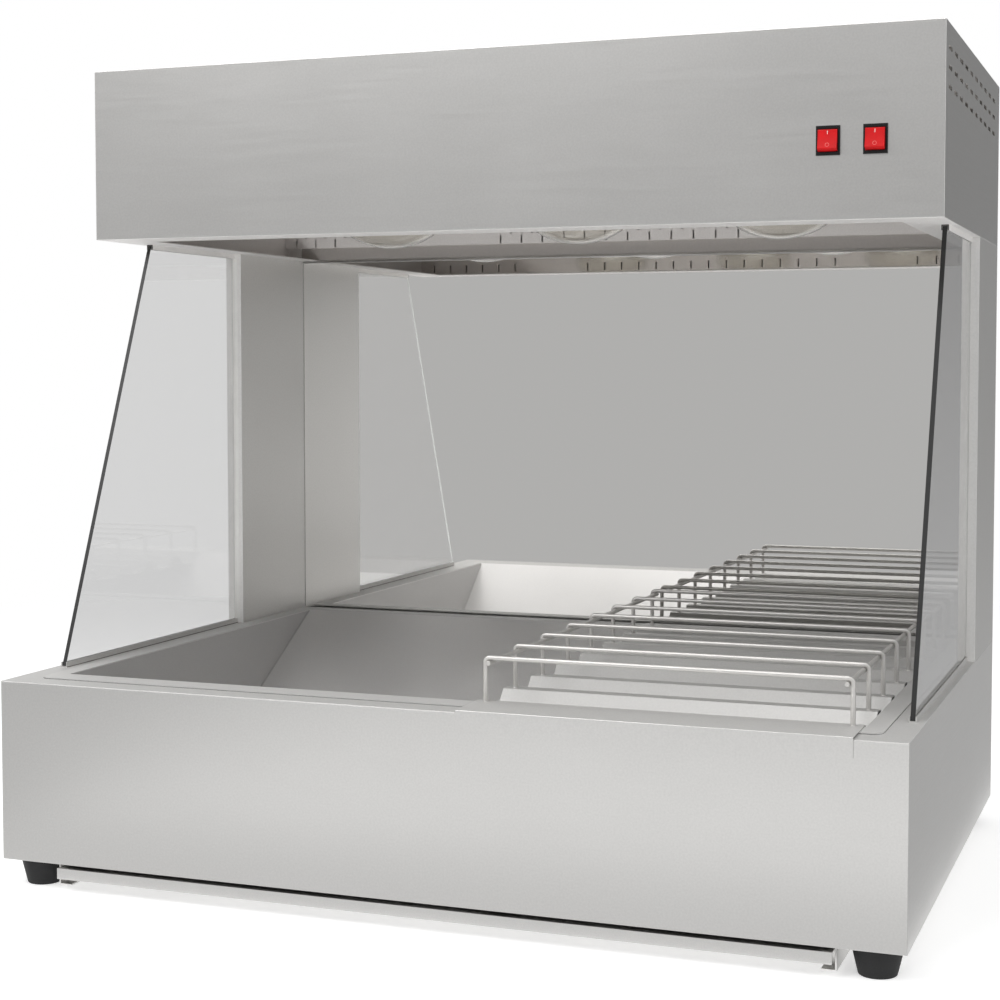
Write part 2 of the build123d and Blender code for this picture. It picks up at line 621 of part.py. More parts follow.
nodes["hood_top"] = rounded_top(slab((-HALF, HALF), (HOOD_FRONT, BACK), (TOP_Z - SHEET, TOP_Z)))
nodes["hood_back"] = slab((-HALF, HALF), (REAR_FACE, BACK), hood_wall_z) - screw_holes(hood_screw_z)

# Slotted liner: a polished plate across the back of the hood, with two staggered rows of air slots.
liner_y = (BACK - LINER_SETBACK - LINER_SHEET, BACK - LINER_SETBACK)
liner_z = HOOD_Z + LINER_RISE
liner = slab((-INNER, INNER), liner_y, (liner_z, TOP_Z - SHEET))
hem_x = INNER - REAR_FLANGE
liner += slab((-hem_x, hem_x), (liner_y[1], REAR_FACE), (liner_z, liner_z + LINER_SHEET))
end_group = [INNER - LINER_GROUP_INSET - i * LINER_SLOT_PITCH for i in range(LINER_END_SLOTS)]
middle_group = [(i - (LINER_MIDDLE_SLOTS - 1) / 2) * LINER_SLOT_PITCH for i in range(LINER_MIDDLE_SLOTS)]
slot_x = [-x for x in end_group] + middle_group + end_group
slot_step = LINER_SLOT_HEIGHT + LINER_SLOT_WEB
slots = [
    slab(
        (x + shift - LINER_SLOT_WIDTH / 2, x + shift + LINER_SLOT_WIDTH / 2),
        (liner_y[0] - LINER_SHEET, liner_y[1] + LINER_SHEET),
        (low, low + LINER_SLOT_HEIGHT),
    )
    for shift, low in ((0, liner_z + LINER_SHEET), (LINER_SLOT_PITCH / 2, liner_z + LINER_SHEET + slot_step))
    for x in slot_x
    if x + shift < INNER - LINER_SLOT_WIDTH
]
nodes["hood_liner"] = liner - slots

# Slotted guard: a low polished angle on the front lip, between the wiring behind the switches and the lamps.
guard_y = (HOOD_FRONT + LINER_SETBACK, HOOD_FRONT + LINER_SETBACK + LINER_SHEET)
guard_z = (hood_lip_z[1], switch_z - switch_end - GUARD_SWITCH_GAP)
guard = slab((-INNER, INNER), guard_y, guard_z)
guard += slab((-INNER, INNER), (guard_y[1], guard_y[1] + GUARD_FOOT), (guard_z[0], guard_z[0] + LINER_SHEET))
guard_end = [INNER - GUARD_GROUP_INSET - i * GUARD_SLOT_PITCH for i in range(GUARD_END_SLOTS)]
guard_middle = [(i - (GUARD_MIDDLE_SLOTS - 1) / 2) * GUARD_SLOT_PITCH for i in range(GUARD_MIDDLE_SLOTS)]
guard_slot_z = (guard_z[0] + GUARD_SLOT_RISE, guard_z[0] + GUARD_SLOT_RISE + GUARD_SLOT_HEIGHT)
guard_slot_y = (guard_y[0] - LINER_SHEET, guard_y[1] + LINER_SHEET)
nodes["hood_guard"] = guard - [
    slab((x - LINER_SLOT_WIDTH / 2, x + LINER_SLOT_WIDTH / 2), guard_slot_y, guard_slot_z)
    for x in [-x for x in guard_end] + guard_middle + guard_end
]

# Infrared lamps: clear-domed reflector bulbs, screwed into ceramic holders on a rail under the hood's top.
lamp_y = BACK - LAMP_FROM_BACK
lamp_x = [(i - (LAMP_COUNT - 1) / 2) * LAMP_PITCH for i in range(LAMP_COUNT)]
holder_top = TOP_Z - SHEET - LAMP_RAIL_DROP
cap_end = holder_top - HOLDER_ROOF - HOLDER_ROOM
collar_z = cap_end - CAP_TIP - CAP_LENGTH
lamp_z = collar_z - CAP_COLLAR - LAMP_NECK_RISE
holder_z = collar_z + HOLDER_MOUTH


def bulb():
    """A glass shell turned about its axis: shallow dome, round shoulder, flared side and open neck."""
    dome = (LAMP_DIAMETER / 2 - LAMP_SHOULDER, LAMP_DOME_RISE)
    shoulder = (LAMP_DIAMETER / 2, LAMP_SHOULDER_RISE)
    throat = (LAMP_THROAT_DIAMETER / 2, LAMP_THROAT_RISE)
    neck = (LAMP_NECK_DIAMETER / 2, LAMP_NECK_RISE)
    dome_turn = 2 * atan2(dome[1], dome[0])
    shoulder_turn = 2 * atan2(shoulder[1] - dome[1], shoulder[0] - dome[0]) - dome_turn
    edges = [
        TangentArc((0, 0), dome, tangent=(1, 0)),
        TangentArc(dome, shoulder, tangent=(cos(dome_turn), sin(dome_turn))),
        TangentArc(shoulder, throat, tangent=(cos(shoulder_turn), sin(shoulder_turn))),
        Polyline(throat, neck, (0, LAMP_NECK_RISE), (0, 0)),
    ]
    body = revolve(Plane.XZ * make_face(edges), Axis.Z)
    return offset(body, -LAMP_WALL, openings=body.faces().sort_by(Axis.Z)[-1])


def lamp_cap():
    """The bulb's screw cap: a collar on the glass, the shell and the contact tip."""
    collar_top = LAMP_NECK_RISE + CAP_COLLAR
    shell_top = collar_top + CAP_LENGTH
    cap = rod(LAMP_NECK_DIAMETER / 2, (0, 0, LAMP_NECK_RISE), (0, 0, collar_top))
    cap += rod(CAP_DIAMETER / 2, (0, 0, collar_top), (0, 0, shell_top))
    return cap + rod(CAP_TIP_DIAMETER / 2, (0, 0, shell_top), (0, 0, shell_top + CAP_TIP))


def lamp_holder():
    """A ceramic holder: a round body with a blind bore for the cap."""
    body = rod(HOLDER_DIAMETER / 2, (0, 0, holder_z), (0, 0, holder_top))
    body = fillet(body.edges().sort_by(Axis.Z)[0], HOLDER_ROUND)
    return body - rod(CAP_DIAMETER / 2 + HOLDER_PLAY, (0, 0, holder_z), (0, 0, holder_top - HOLDER_ROOF))


for number, x in enumerate(lamp_x, 1):
    nodes[f"lamp_glass_{number}"] = Pos(x, lamp_y, lamp_z) * bulb()
nodes["lamp_caps"] = Compound([Pos(x, lamp_y, lamp_z) * lamp_cap() for x in lamp_x])
nodes["lamp_holders"] = Compound([Pos(x, lamp_y, 0) * lamp_holder() for x in lamp_x])

rail_x = INNER - LAMP_RAIL_INSET
rail_y = (lamp_y - LAMP_RAIL_WIDTH / 2, lamp_y + LAMP_RAIL_WIDTH / 2)
lamp_rail = slab((-rail_x, rail_x), rail_y, (holder_top, TOP_Z - SHEET))
nodes["lamp_rail"] = lamp_rail - slab(
    (-rail_x, rail_x), (rail_y[0] + SHEET, rail_y[1] - SHEET), (holder_top + SHEET, TOP_Z)
)

# Rocker switches: black housings snapped into the hood's front, red rockers on stub pivots, tabs behind.
pivot_y = HOOD_FRONT + PIVOT_SETBACK
bezel_x = switch_x + BEZEL_LIP
bezel_end = switch_end + BEZEL_END_LIP
body_end = HOOD_FRONT + SWITCH_BODY_DEPTH


def switch_housing():
    """The bezel and the body behind the panel, hollow in front for the rocker."""
    bezel = slab((-bezel_x, bezel_x), (HOOD_FRONT - BEZEL_PROUD, HOOD_FRONT), (-bezel_end, bezel_end))
    bezel = fillet(bezel.faces().sort_by(Axis.Y)[0].edges(), BEZEL_ROUND)
    body = bezel + slab((-switch_x, switch_x), (HOOD_FRONT, body_end), (-switch_end, switch_end))
    cavity_y = (HOOD_FRONT - 2 * BEZEL_PROUD, HOOD_FRONT + SWITCH_CAVITY_DEPTH)
    body -= slab((-cavity_x, cavity_x), cavity_y, (-cavity_z, cavity_z))
    hole = ROCKER_WIDTH / 2 + PIVOT_LENGTH + PIVOT_PLAY
    return body - rod(PIVOT_DIAMETER / 2 + PIVOT_PLAY, (-hole, pivot_y, 0), (hole, pivot_y, 0))


def rocker():
    """The rocker about its pivot: dished front, round ends, tilted with its upper end pressed in."""
    ends = ROCKER_RADIUS
    outline = [(-ROCKER_PROUD, -ends), (-ROCKER_PROUD, ends), (0, ends)]
    outline += [(ROCKER_BACK, ends / 2), (ROCKER_BACK, -ends / 2), (0, -ends)]
    body = across(outline, -ROCKER_WIDTH / 2, ROCKER_WIDTH / 2)
    body &= rod(ROCKER_RADIUS, (-ROCKER_WIDTH, 0, 0), (ROCKER_WIDTH, 0, 0))
    dish_radius = (ends**2 + ROCKER_DISH**2) / (2 * ROCKER_DISH)
    dish_y = -ROCKER_PROUD + ROCKER_DISH - dish_radius
    body -= rod(dish_radius, (-ROCKER_WIDTH, dish_y, 0), (ROCKER_WIDTH, dish_y, 0))
    body = fillet(body.edges().filter_by(Axis.X).sort_by(Axis.Y)[:2], ROCKER_ROUND)
    reach = ROCKER_WIDTH / 2 + PIVOT_LENGTH
    return body + rod(PIVOT_DIAMETER / 2, (-reach, 0, 0), (reach, 0, 0))


def switch_tabs(x):
    """The three blades behind one switch."""
    blade = slab(
        (-TAB_WIDTH / 2, TAB_WIDTH / 2),
        (body_end, body_end + TAB_LENGTH),
        (-TAB_THICKNESS / 2, TAB_THICKNESS / 2),
    )
    return [Pos(x, 0, switch_z + step * TAB_PITCH) * blade for step in (-1, 0, 1)]


for name, x in switches:
    nodes["switch_housing_" + name] = Pos(x, 0, switch_z) * switch_housing()
    nodes["rocker_" + name] = Pos(x, pivot_y, switch_z) * Rot(-ROCKER_TILT, 0, 0) * rocker()
nodes["switch_tabs"] = Compound([tab for _, x in switches for tab in switch_tabs(x)])

# Terminal block: a plastic strip under the hood's top where the lamp leads meet.
block_x = HALF - BLOCK_INSET
block_y = BACK - BLOCK_FROM_BACK
block_z = (TOP_Z - SHEET - BLOCK_HEIGHT, TOP_Z - SHEET)
block = slab(
    (block_x - BLOCK_WIDTH / 2, block_x + BLOCK_WIDTH / 2),
    (block_y - BLOCK_DEPTH / 2, block_y + BLOCK_DEPTH / 2),
    block_z,
)
way_pitch = BLOCK_WIDTH / BLOCK_WAYS
way_x = [block_x + (i - (BLOCK_WAYS - 1) / 2) * way_pitch for i in range(BLOCK_WAYS)]
way_z = block_z[0] + BLOCK_HEIGHT / 2
nodes["terminal_block"] = block - [
    rod(BLOCK_BORE / 2, (x, block_y - BLOCK_DEPTH, way_z), (x, block_y + BLOCK_DEPTH, way_z)) for x in way_x
]

os.makedirs("parts", exist_ok=True)
for name, shape in nodes.items():
    export_step(shape, f"parts/{name}.step")
print(len(nodes), "nodes written")
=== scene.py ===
import math

import bpy
import numpy as np
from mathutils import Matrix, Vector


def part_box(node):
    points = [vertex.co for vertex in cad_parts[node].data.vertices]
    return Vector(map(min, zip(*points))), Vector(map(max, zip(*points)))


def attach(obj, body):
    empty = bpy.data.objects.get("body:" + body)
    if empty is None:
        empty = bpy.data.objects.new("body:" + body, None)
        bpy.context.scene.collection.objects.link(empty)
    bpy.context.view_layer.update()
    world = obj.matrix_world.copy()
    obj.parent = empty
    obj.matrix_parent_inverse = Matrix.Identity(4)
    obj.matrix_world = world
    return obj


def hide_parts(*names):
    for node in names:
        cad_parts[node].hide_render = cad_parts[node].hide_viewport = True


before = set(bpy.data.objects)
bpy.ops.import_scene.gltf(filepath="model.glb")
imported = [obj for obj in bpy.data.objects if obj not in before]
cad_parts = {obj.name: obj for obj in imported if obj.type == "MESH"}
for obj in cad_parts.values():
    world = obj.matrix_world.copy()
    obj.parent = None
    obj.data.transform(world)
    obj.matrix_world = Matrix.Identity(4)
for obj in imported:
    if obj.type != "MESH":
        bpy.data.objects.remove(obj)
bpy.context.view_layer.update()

# Base box: four folded panels of 1.2 mm stainless sheet with a fine brushed grain, welded at the corners. The
# grain runs along each panel, and the floor plate inside is the same sheet. The deck strips on top are ground
# matt, and a fine grey seam shows along the top of each side.
STEEL_GREY = "#d9d8d6"
ACROSS, FRONT_TO_BACK, UPRIGHT = 0, 1, 2
SCRATCH_WIDTH, SCRATCH_RUN, SCRATCH_DEPTH, SCRATCH_BUMP = 0.9, 70.0, 0.004, 0.2
CLOUD_SIZE, SPECK_SIZE = 160.0, 2.2
SCRATCH_SWING, CLOUD_SWING, SPECK_SWING = 0.03, 0.05, 0.03
NOISE_SPAN = {"From Min": 0.3, "From Max": 0.7}


def linear(hex_code):
    """An sRGB hex colour as linear red, green, blue and alpha 1."""
    srgb = np.array([int(hex_code[i : i + 2], 16) for i in (1, 3, 5)]) / 255
    low, high = srgb / 12.92, ((srgb + 0.055) / 1.055) ** 2.4
    return (*np.where(srgb <= 0.04045, low, high).tolist(), 1.0)


def add(tree, kind, inputs=None, **settings):
    """Adds one shader node, sets its attributes, and sets or links its inputs by name or number."""
    new = tree.nodes.new("ShaderNode" + kind)
    for key, value in settings.items():
        setattr(new, key, value)
    for key, value in (inputs or {}).items():
        if isinstance(value, bpy.types.NodeSocket):
            tree.links.new(value, new.inputs[key])
        else:
            new.inputs[key].default_value = value
    return new


def start_material(name):
    """An empty material, its node tree, and the place on the piece in metres."""
    material = bpy.data.materials.new(name)
    material.use_nodes = True
    tree = material.node_tree
    tree.nodes.clear()
    return material, tree, add(tree, "TexCoord").outputs["Object"]


def finish_material(material, shader):
    """The material with this shader on its output."""
    add(material.node_tree, "OutputMaterial", {0: shader.outputs[0]})
    return material


def dress(material, *names):
    """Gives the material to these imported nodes."""
    for name in names:
        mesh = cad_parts[name].data
        mesh.materials.clear()
        mesh.materials.append(material)


def within(tree, place, low_mm, high_mm):
    """1 between two corners and 0 outside them: the product of a step up and a step down on each axis."""
    axes = add(tree, "SeparateXYZ", {0: place}).outputs
    mask = None
    for axis, low, high in zip(axes, low_mm, high_mm):
        middle, half = (low + high) / 2000, (high - low) / 2000
        step = add(tree, "Math", {0: axis, 1: middle, 2: half}, operation="COMPARE").outputs[0]
        both = {0: step, 1: step if mask is None else mask}
        mask = add(tree, "Math", both, operation="MULTIPLY").outputs[0]
    return mask


def lay_patches(tree, place, patches, gloss, shine, hex_code):
    """The roughness, the share of mirror shine and the colour of a sheet. Each patch has two corners in
    millimetres, and between them its own roughness, share and colour take the place of the sheet's."""
    share, colour = shine, linear(hex_code)
    for low_corner, high_corner, patch_gloss, patch_shine, patch_hex in patches:
        inside = within(tree, place, low_corner, high_corner)
        gloss = add(tree, "Mix", {"Factor": inside, "A": gloss, "B": patch_gloss}).outputs[0]
        if patch_shine != shine:
            both = {"Factor": inside, "A": share, "B": patch_shine}
            share = add(tree, "Mix", both).outputs[0]
        if patch_hex != hex_code:
            both = {"Factor": inside, 6: colour, 7: linear(patch_hex)}
            colour = add(tree, "Mix", both, data_type="RGBA").outputs[2]
    return gloss, share, colour


def brushed_stainless(name, hex_code, along, roughness=0.34, shine=1.0, patches=()):
    """Stainless sheet brushed along one axis: fine long scratches lift and drop the gloss, a slow cloud from
    rolling shifts it over a hand's width, and specks vary the tone. Real scratches are near 0.1 mm, drawn
    wider so that they show. A ground finish scatters light, so its share of mirror shine is under 1."""
    material, tree, place = start_material(name)
    stretch = [1000 / SCRATCH_WIDTH] * 3
    stretch[along] = 1000 / SCRATCH_RUN
    lengthwise = add(tree, "Mapping", {"Vector": place, "Scale": stretch}).outputs[0]
    scratch = add(tree, "TexNoise", {"Vector": lengthwise, "Scale": 1.0, "Detail": 3.0}).outputs[0]
    cloud = add(tree, "TexNoise", {"Vector": place, "Scale": 1000 / CLOUD_SIZE, "Detail": 2.0})
    speck = add(tree, "TexNoise", {"Vector": place, "Scale": 1000 / SPECK_SIZE, "Detail": 2.0})
    span = {**NOISE_SPAN, "To Min": roughness - SCRATCH_SWING, "To Max": roughness + SCRATCH_SWING}
    gloss = add(tree, "MapRange", {"Value": scratch, **span})
    lifted = {0: cloud.outputs[0], 1: CLOUD_SWING, 2: gloss.outputs[0]}
    drift = add(tree, "Math", lifted, operation="MULTIPLY_ADD")
    drift = add(tree, "Math", {0: drift.outputs[0], 1: CLOUD_SWING / 2}, operation="SUBTRACT")
    span = {**NOISE_SPAN, "To Min": 1 - SPECK_SWING, "To Max": 1 + SPECK_SWING}
    shade = add(tree, "MapRange", {"Value": speck.outputs[0], **span})
    gloss, share, colour = lay_patches(tree, place, patches, drift.outputs[0], shine, hex_code)
    colours = {"Factor": 1.0, 6: colour, 7: shade.outputs[0]}
    tint = add(tree, "Mix", colours, data_type="RGBA", blend_type="MULTIPLY")
    bump = add(tree, "Bump", {"Height": scratch, "Strength": SCRATCH_BUMP, "Distance": SCRATCH_DEPTH / 1000})
    skin = {"Base Color": tint.outputs[2], "Metallic": share, "Roughness": gloss, "Normal": bump.outputs[0]}
    return finish_material(material, add(tree, "BsdfPrincipled", skin))


# Brushing blurs what the panels mirror into soft bands, and grinding turns the deck an even grey.
SIDE_SEAM = ((-501.0, -351.0, 228.9), (501.0, 351.0, 230.1), 0.34, 1.0, "#a8a7a5")
front_steel = brushed_stainless("brushed stainless sheet, grain across", STEEL_GREY, ACROSS)
side_steel = brushed_stainless(
    "brushed stainless sheet, grain front to back", STEEL_GREY, FRONT_TO_BACK, patches=[SIDE_SEAM]
)
deck_steel = brushed_stainless(
    "matt brushed stainless sheet, deck", "#c2c1bf", ACROSS, roughness=0.6, shine=0.25
)
dress(front_steel, "base_front", "base_back", "base_floor")
dress(side_steel, "base_side_left", "base_side_right")
dress(deck_steel, "deck")

# Feet: four tapered feet of moulded black rubber, matt with a fine grain from the mould, each held by a
# zinc-plated bolt with a washer in its counterbore and a nut above the floor plate.
MOTTLE_SIZE, MOULD_BUMP = 14.0, 0.5
CELL_GLOSS, CELL_SHADE = (-0.05, 0.08), (0.9, 1.08)


def moulded(name, hex_code, roughness, grain_mm, depth_mm, spread=0.06, ior=1.5, mottling=0.12):
    """A moulded surface: small rounded grains in the gloss and the bump, and a faint mottle in the colour."""
    material, tree, place = start_material(name)
    grain = add(tree, "TexNoise", {"Vector": place, "Scale": 1000 / grain_mm, "Detail": 2.0})
    mottle = add(tree, "TexNoise", {"Vector": place, "Scale": 1000 / MOTTLE_SIZE, "Detail": 3.0})
    span = {**NOISE_SPAN, "To Min": roughness - spread, "To Max": roughness + spread}
    gloss = add(tree, "MapRange", {"Value": grain.outputs[0], **span}).outputs[0]
    span = {**NOISE_SPAN, "To Min": 1 - mottling, "To Max": 1 + mottling}
    shade = add(tree, "MapRange", {"Value": mottle.outputs[0], **span})
    colours = {"Factor": 1.0, 6: linear(hex_code), 7: shade.outputs[0]}
    tint = add(tree, "Mix", colours, data_type="RGBA", blend_type="MULTIPLY")
    dents = {"Height": grain.outputs[0], "Strength": MOULD_BUMP, "Distance": depth_mm / 1000}
    bump = add(tree, "Bump", dents)
    skin = {"Base Color": tint.outputs[2], "Roughness": gloss, "IOR": ior, "Normal": bump.outputs[0]}
    return finish_material(material, add(tree, "BsdfPrincipled", skin))


def plated(name, hex_code, roughness, cell_mm):
    """Bright plated steel: crystal cells of slightly different gloss and tone under a thin passivation."""
    material, tree, place = start_material(name)
    cells = add(tree, "TexVoronoi", {"Vector": place, "Scale": 1000 / cell_mm}).outputs[1]
    span = {"To Min": roughness + CELL_GLOSS[0], "To Max": roughness + CELL_GLOSS[1]}
    gloss = add(tree, "MapRange", {"Value": cells, **span})
    span = {"To Min": CELL_SHADE[0], "To Max": CELL_SHADE[1]}
    shade = add(tree, "MapRange", {"Value": cells, **span})
    colours = {"Factor": 1.0, 6: linear(hex_code), 7: shade.outputs[0]}
    tint = add(tree, "Mix", colours, data_type="RGBA", blend_type="MULTIPLY")
    skin = {"Base Color": tint.outputs[2], "Metallic": 1.0, "Roughness": gloss.outputs[0]}
    return finish_material(material, add(tree, "BsdfPrincipled", skin))


# The rubber's grain leaves only a dull grey sheen, and the zinc has a cold shine broken up by its crystals.
foot_rubber = moulded("moulded black rubber", "#111112", roughness=0.68, grain_mm=0.7, depth_mm=0.05)
dress(foot_rubber, *[f"foot_{end}_{side}" for end in ("front", "rear") for side in ("left", "right")])
zinc = plated("bright zinc plate", "#c3c6c8", roughness=0.28, cell_mm=1.6)
dress(zinc, "foot_bolts")

# Crumb tray and runners: two channels bent from 1.5 mm sheet under the base, and a shallow tray of 1 mm
# sheet that slides on them, its front lip turned down as a pull.
ROLL_SWING, ROLL_SHADE, ROLL_DEPTH, ROLL_BUMP = 0.05, 0.04, 0.003, 0.25


def rolled_stainless(name, hex_code, roughness, grain_mm=0.8, cloud_mm=90.0, shine=1.0, patches=()):
    """Cold-rolled stainless with a satin skin: a fine even grain and broad clouds left by the rollers. A
    pickled skin scatters light, so its share of mirror shine is under 1."""
    material, tree, place = start_material(name)
    grain = add(tree, "TexNoise", {"Vector": place, "Scale": 1000 / grain_mm, "Detail": 2.0})
    cloud = add(tree, "TexNoise", {"Vector": place, "Scale": 1000 / cloud_mm, "Detail": 3.0})
    span = {**NOISE_SPAN, "To Min": roughness - ROLL_SWING, "To Max": roughness + ROLL_SWING}
    gloss = add(tree, "MapRange", {"Value": cloud.outputs[0], **span})
    span = {**NOISE_SPAN, "To Min": 1 - ROLL_SHADE, "To Max": 1 + ROLL_SHADE}
    shade = add(tree, "MapRange", {"Value": grain.outputs[0], **span})
    gloss, share, colour = lay_patches(tree, place, patches, gloss.outputs[0], shine, hex_code)
    colours = {"Factor": 1.0, 6: colour, 7: shade.outputs[0]}
    tint = add(tree, "Mix", colours, data_type="RGBA", blend_type="MULTIPLY")
    dents = {"Height": grain.outputs[0], "Strength": ROLL_BUMP, "Distance": ROLL_DEPTH / 1000}
    bump = add(tree, "Bump", dents)
    skin = {"Base Color": tint.outputs[2], "Metallic": share, "Roughness": gloss, "Normal": bump.outputs[0]}
    return finish_material(material, add(tree, "BsdfPrincipled", skin))


# A plain mill finish: the same soft shine in every direction.
tray_steel = rolled_stainless("satin rolled stainless, tray and runners", "#dcdbd9", roughness=0.42)
dress(tray_steel, "crumb_tray", "tray_runner_left", "tray_runner_right")

# Chip pan: a drop-in pan of 1 mm satin stainless with a flat rim, upright sides, a sloping front and a long
# sloping back, folded and welded, with drain slots punched in its bottom. The rim's top is ground matt. The
# pickled inside looks pale and even. Its two upright sides carry painted shade: a darker colour that stands
# for the shadow falling on them in the pan.
PAN_RIM = ((-471.0, -321.0, 231.05), (471.0, 335.0, 231.4), 0.6, 0.25, "#c8c7c5")
PAN_SIDE_X, PAN_ROUGHNESS, PAN_SHINE = 450.0, 0.52, 0.88
# Painted shade: the upright sides are coloured darker for the shadow in the pan.
PAN_SIDES = [
    ((x - 2.0, -300.0, 70.0), (x + 2.0, 320.0, 230.0), PAN_ROUGHNESS, PAN_SHINE, "#d4d3d2")
    for x in (-PAN_SIDE_X, PAN_SIDE_X)
]
pan_steel = rolled_stainless(
    "satin rolled stainless, pan, painted shade on its sides",
    "#e8e7e6",
    PAN_ROUGHNESS,
    cloud_mm=140.0,
    shine=PAN_SHINE,
    patches=[PAN_RIM, *PAN_SIDES],
)
dress(pan_steel, "pan")

# Bag rack sheet: 1 mm satin stainless folded into flat-topped ridges, hooked over the base's front edge in
# front and lying on the pan's rim behind. The folds have a small round, which the CAD strips leave sharp.
RACK_X = (46.0, 448.0)
RACK_FRONT, RACK_BACK, RACK_TOP, RACK_SHEET = -351.3, 332.0, 232.4, 1.0
RIDGE_DROP, RIDGE_HALF_CREST, BACK_LAND, HOOK_DROP = 18.0, 8.0, 287.937, 20.0
FOLD_RADIUS, HOOK_RADIUS = 1.6, 0.6
FIRST_BOW, LAST_RIDGE_BOW, BACK_BOW, RIDGE_BOWS = -293.5, 234.437, 322.5, 7
BOW_Y = np.append(np.linspace(FIRST_BOW, LAST_RIDGE_BOW, RIDGE_BOWS), BACK_BOW)


def rounded_line(points, radii, steps=6):
    """A polyline with its inner corners replaced by arcs: an arc of radius r at a corner of turn t starts and
    ends r tan(t/2) from it, and its points lie r from the centre on the corner's bisector."""
    points = np.array(points, float)
    before, at, after = points[:-2], points[1:-1], points[2:]
    came = (at - before) / np.linalg.norm(at - before, axis=1, keepdims=True)
    goes = (after - at) / np.linalg.norm(after - at, axis=1, keepdims=True)
    turn = np.arctan2(came[:, 0] * goes[:, 1] - came[:, 1] * goes[:, 0], (came * goes).sum(1))
    radii = np.broadcast_to(radii, turn.shape)
    reach = radii * np.tan(np.abs(turn) / 2)
    start = at - came * reach[:, None]
    normal = np.stack([-came[:, 1], came[:, 0]], 1) * np.sign(turn)[:, None]
    centre = start + normal * radii[:, None]
    angle = np.sign(turn)[:, None] * np.linspace(0, 1, steps)[None, :] * np.abs(turn)[:, None]
    arm = -normal * radii[:, None]
    cos, sin = np.cos(angle), np.sin(angle)
    swept = np.stack([arm[:, :1] * cos - arm[:, 1:] * sin, arm[:, :1] * sin + arm[:, 1:] * cos], 2)
    arcs = swept + centre[:, None, :]
    return np.concatenate([points[:1], arcs.reshape(-1, 2), points[-1:]])


def offset_line(line, distance):
    """The line moved to its right by a distance, at each point along the mean normal of its two runs."""
    run = np.diff(line, axis=0)
    run /= np.linalg.norm(run, axis=1, keepdims=True)
    normal = np.stack([run[:, 1], -run[:, 0]], 1)
    mean = np.concatenate([normal[:1], normal[:-1] + normal[1:], normal[-1:]])
    mean /= np.linalg.norm(mean, axis=1, keepdims=True)
    first = np.concatenate([normal[:1], normal])
    return line + mean * distance / (mean * first).sum(1, keepdims=True)


def put_mesh(name, points, faces, body, slot, material, smooth=True):
    """A mesh piece from an array of points in millimetres and its faces, riding on a body."""
    mesh = bpy.data.meshes.new(name)
    mesh.from_pydata((np.asarray(points) / 1000).tolist(), [], np.asarray(faces).tolist())
    mesh.polygons.foreach_set("use_smooth", np.full(len(mesh.polygons), smooth))
    mesh.materials.append(material)
    mesh.update()
    piece = bpy.data.objects.new(name, mesh)
    bpy.context.scene.collection.objects.link(piece)
    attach(piece, body)
    return piece


def grid_faces(rows, columns, wrap_rows=False, wrap_columns=False):
    """Quads of a grid of points numbered row by row, joined round where a direction wraps."""
    r = np.arange(rows if wrap_rows else rows - 1)
    c = np.arange(columns if wrap_columns else columns - 1)
    r, c = np.meshgrid(r, c, indexing="ij")
    r2, c2 = (r + 1) % rows, (c + 1) % columns
    quads = np.stack([r * columns + c, r * columns + c2, r2 * columns + c2, r2 * columns + c], 2)
    return quads.reshape(-1, 4)


def sleeve_faces(rows, count, closed=False):
    """Faces of a ring of count points carried along a path of rows, turning right-handed about the path. A
    closed path joins its ends, and an open one gets flat ends of quads between the ring's two halves."""
    skin = grid_faces(rows, count, wrap_rows=closed, wrap_columns=True)
    if closed:
        return skin
    i = np.arange(count // 2 - 1)
    end = np.stack([i, i + 1, count - 2 - i, count - 1 - i], 1)
    return np.concatenate([skin, end[:, ::-1], end + (rows - 1) * count])


land_ends = BOW_Y[:-1] + RIDGE_HALF_CREST
next_lands = np.append(BOW_Y[1:-1] - RIDGE_HALF_CREST, BACK_LAND)
folds = np.stack([land_ends, land_ends + RIDGE_DROP, next_lands - RIDGE_DROP, next_lands], 1).ravel()
heights = np.tile([0, -RIDGE_DROP, -RIDGE_DROP, 0], len(land_ends)) + RACK_TOP
hook = [(RACK_FRONT, RACK_TOP - HOOK_DROP), (RACK_FRONT, RACK_TOP)]
sheet_line = np.concatenate([hook, np.stack([folds, heights], 1), [(RACK_BACK, RACK_TOP)]])
rack_over = rounded_line(sheet_line, np.append(HOOK_RADIUS, np.full(len(folds), FOLD_RADIUS)))
rack_under = offset_line(rack_over, RACK_SHEET)
rack_ring = np.concatenate([rack_under, rack_over[::-1]])

# The front land and the ridges are brushed duller than the hook, so they look an even grey.
LAND_END = -285.4
FRONT_LAND = ((RACK_X[0], -351.0, 231.6), (RACK_X[1], LAND_END, 233.0), 0.58, 0.6, "#d4d3d1")
RIDGES = ((RACK_X[0] - 1, LAND_END, 210.0), (RACK_X[1] + 1, 333.0, 233.0), 0.4, 0.45, "#bebdbb")
rack_steel = brushed_stainless(
    "brushed stainless sheet, rack", STEEL_GREY, ACROSS, patches=[FRONT_LAND, RIDGES]
)
rack_points = np.concatenate([np.insert(rack_ring, 0, x, axis=1) for x in RACK_X])
rack_faces = sleeve_faces(len(RACK_X), len(rack_ring))
rack_sheet = put_mesh(
    "rack_folded_sheet", rack_points, rack_faces, "rack", "satin_stainless", rack_steel, smooth=False
)
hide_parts("rack_sheet")

# Pan seal: a thin strip of dark rubber under the pan's rim, on which it rests on the deck. It stands out a
# little, so the rim has a fine dark line round it. The strip is partly a guessed seal and partly painted
# shadow: its dark colour stands for the shadow gap under the raised rim.
RIM_HALF, RIM_CENTRE_Y, RIM_CORNER, CORNER_STEPS = np.array([470.0, 327.0]), 7.0, 12.0, 9
RIM_SEAL_IN, RIM_SEAL_SIDE, RIM_SEAL_FRONT, RIM_SEAL_Z = -6.0, 0.2, 1.0, (230.02, 230.18)


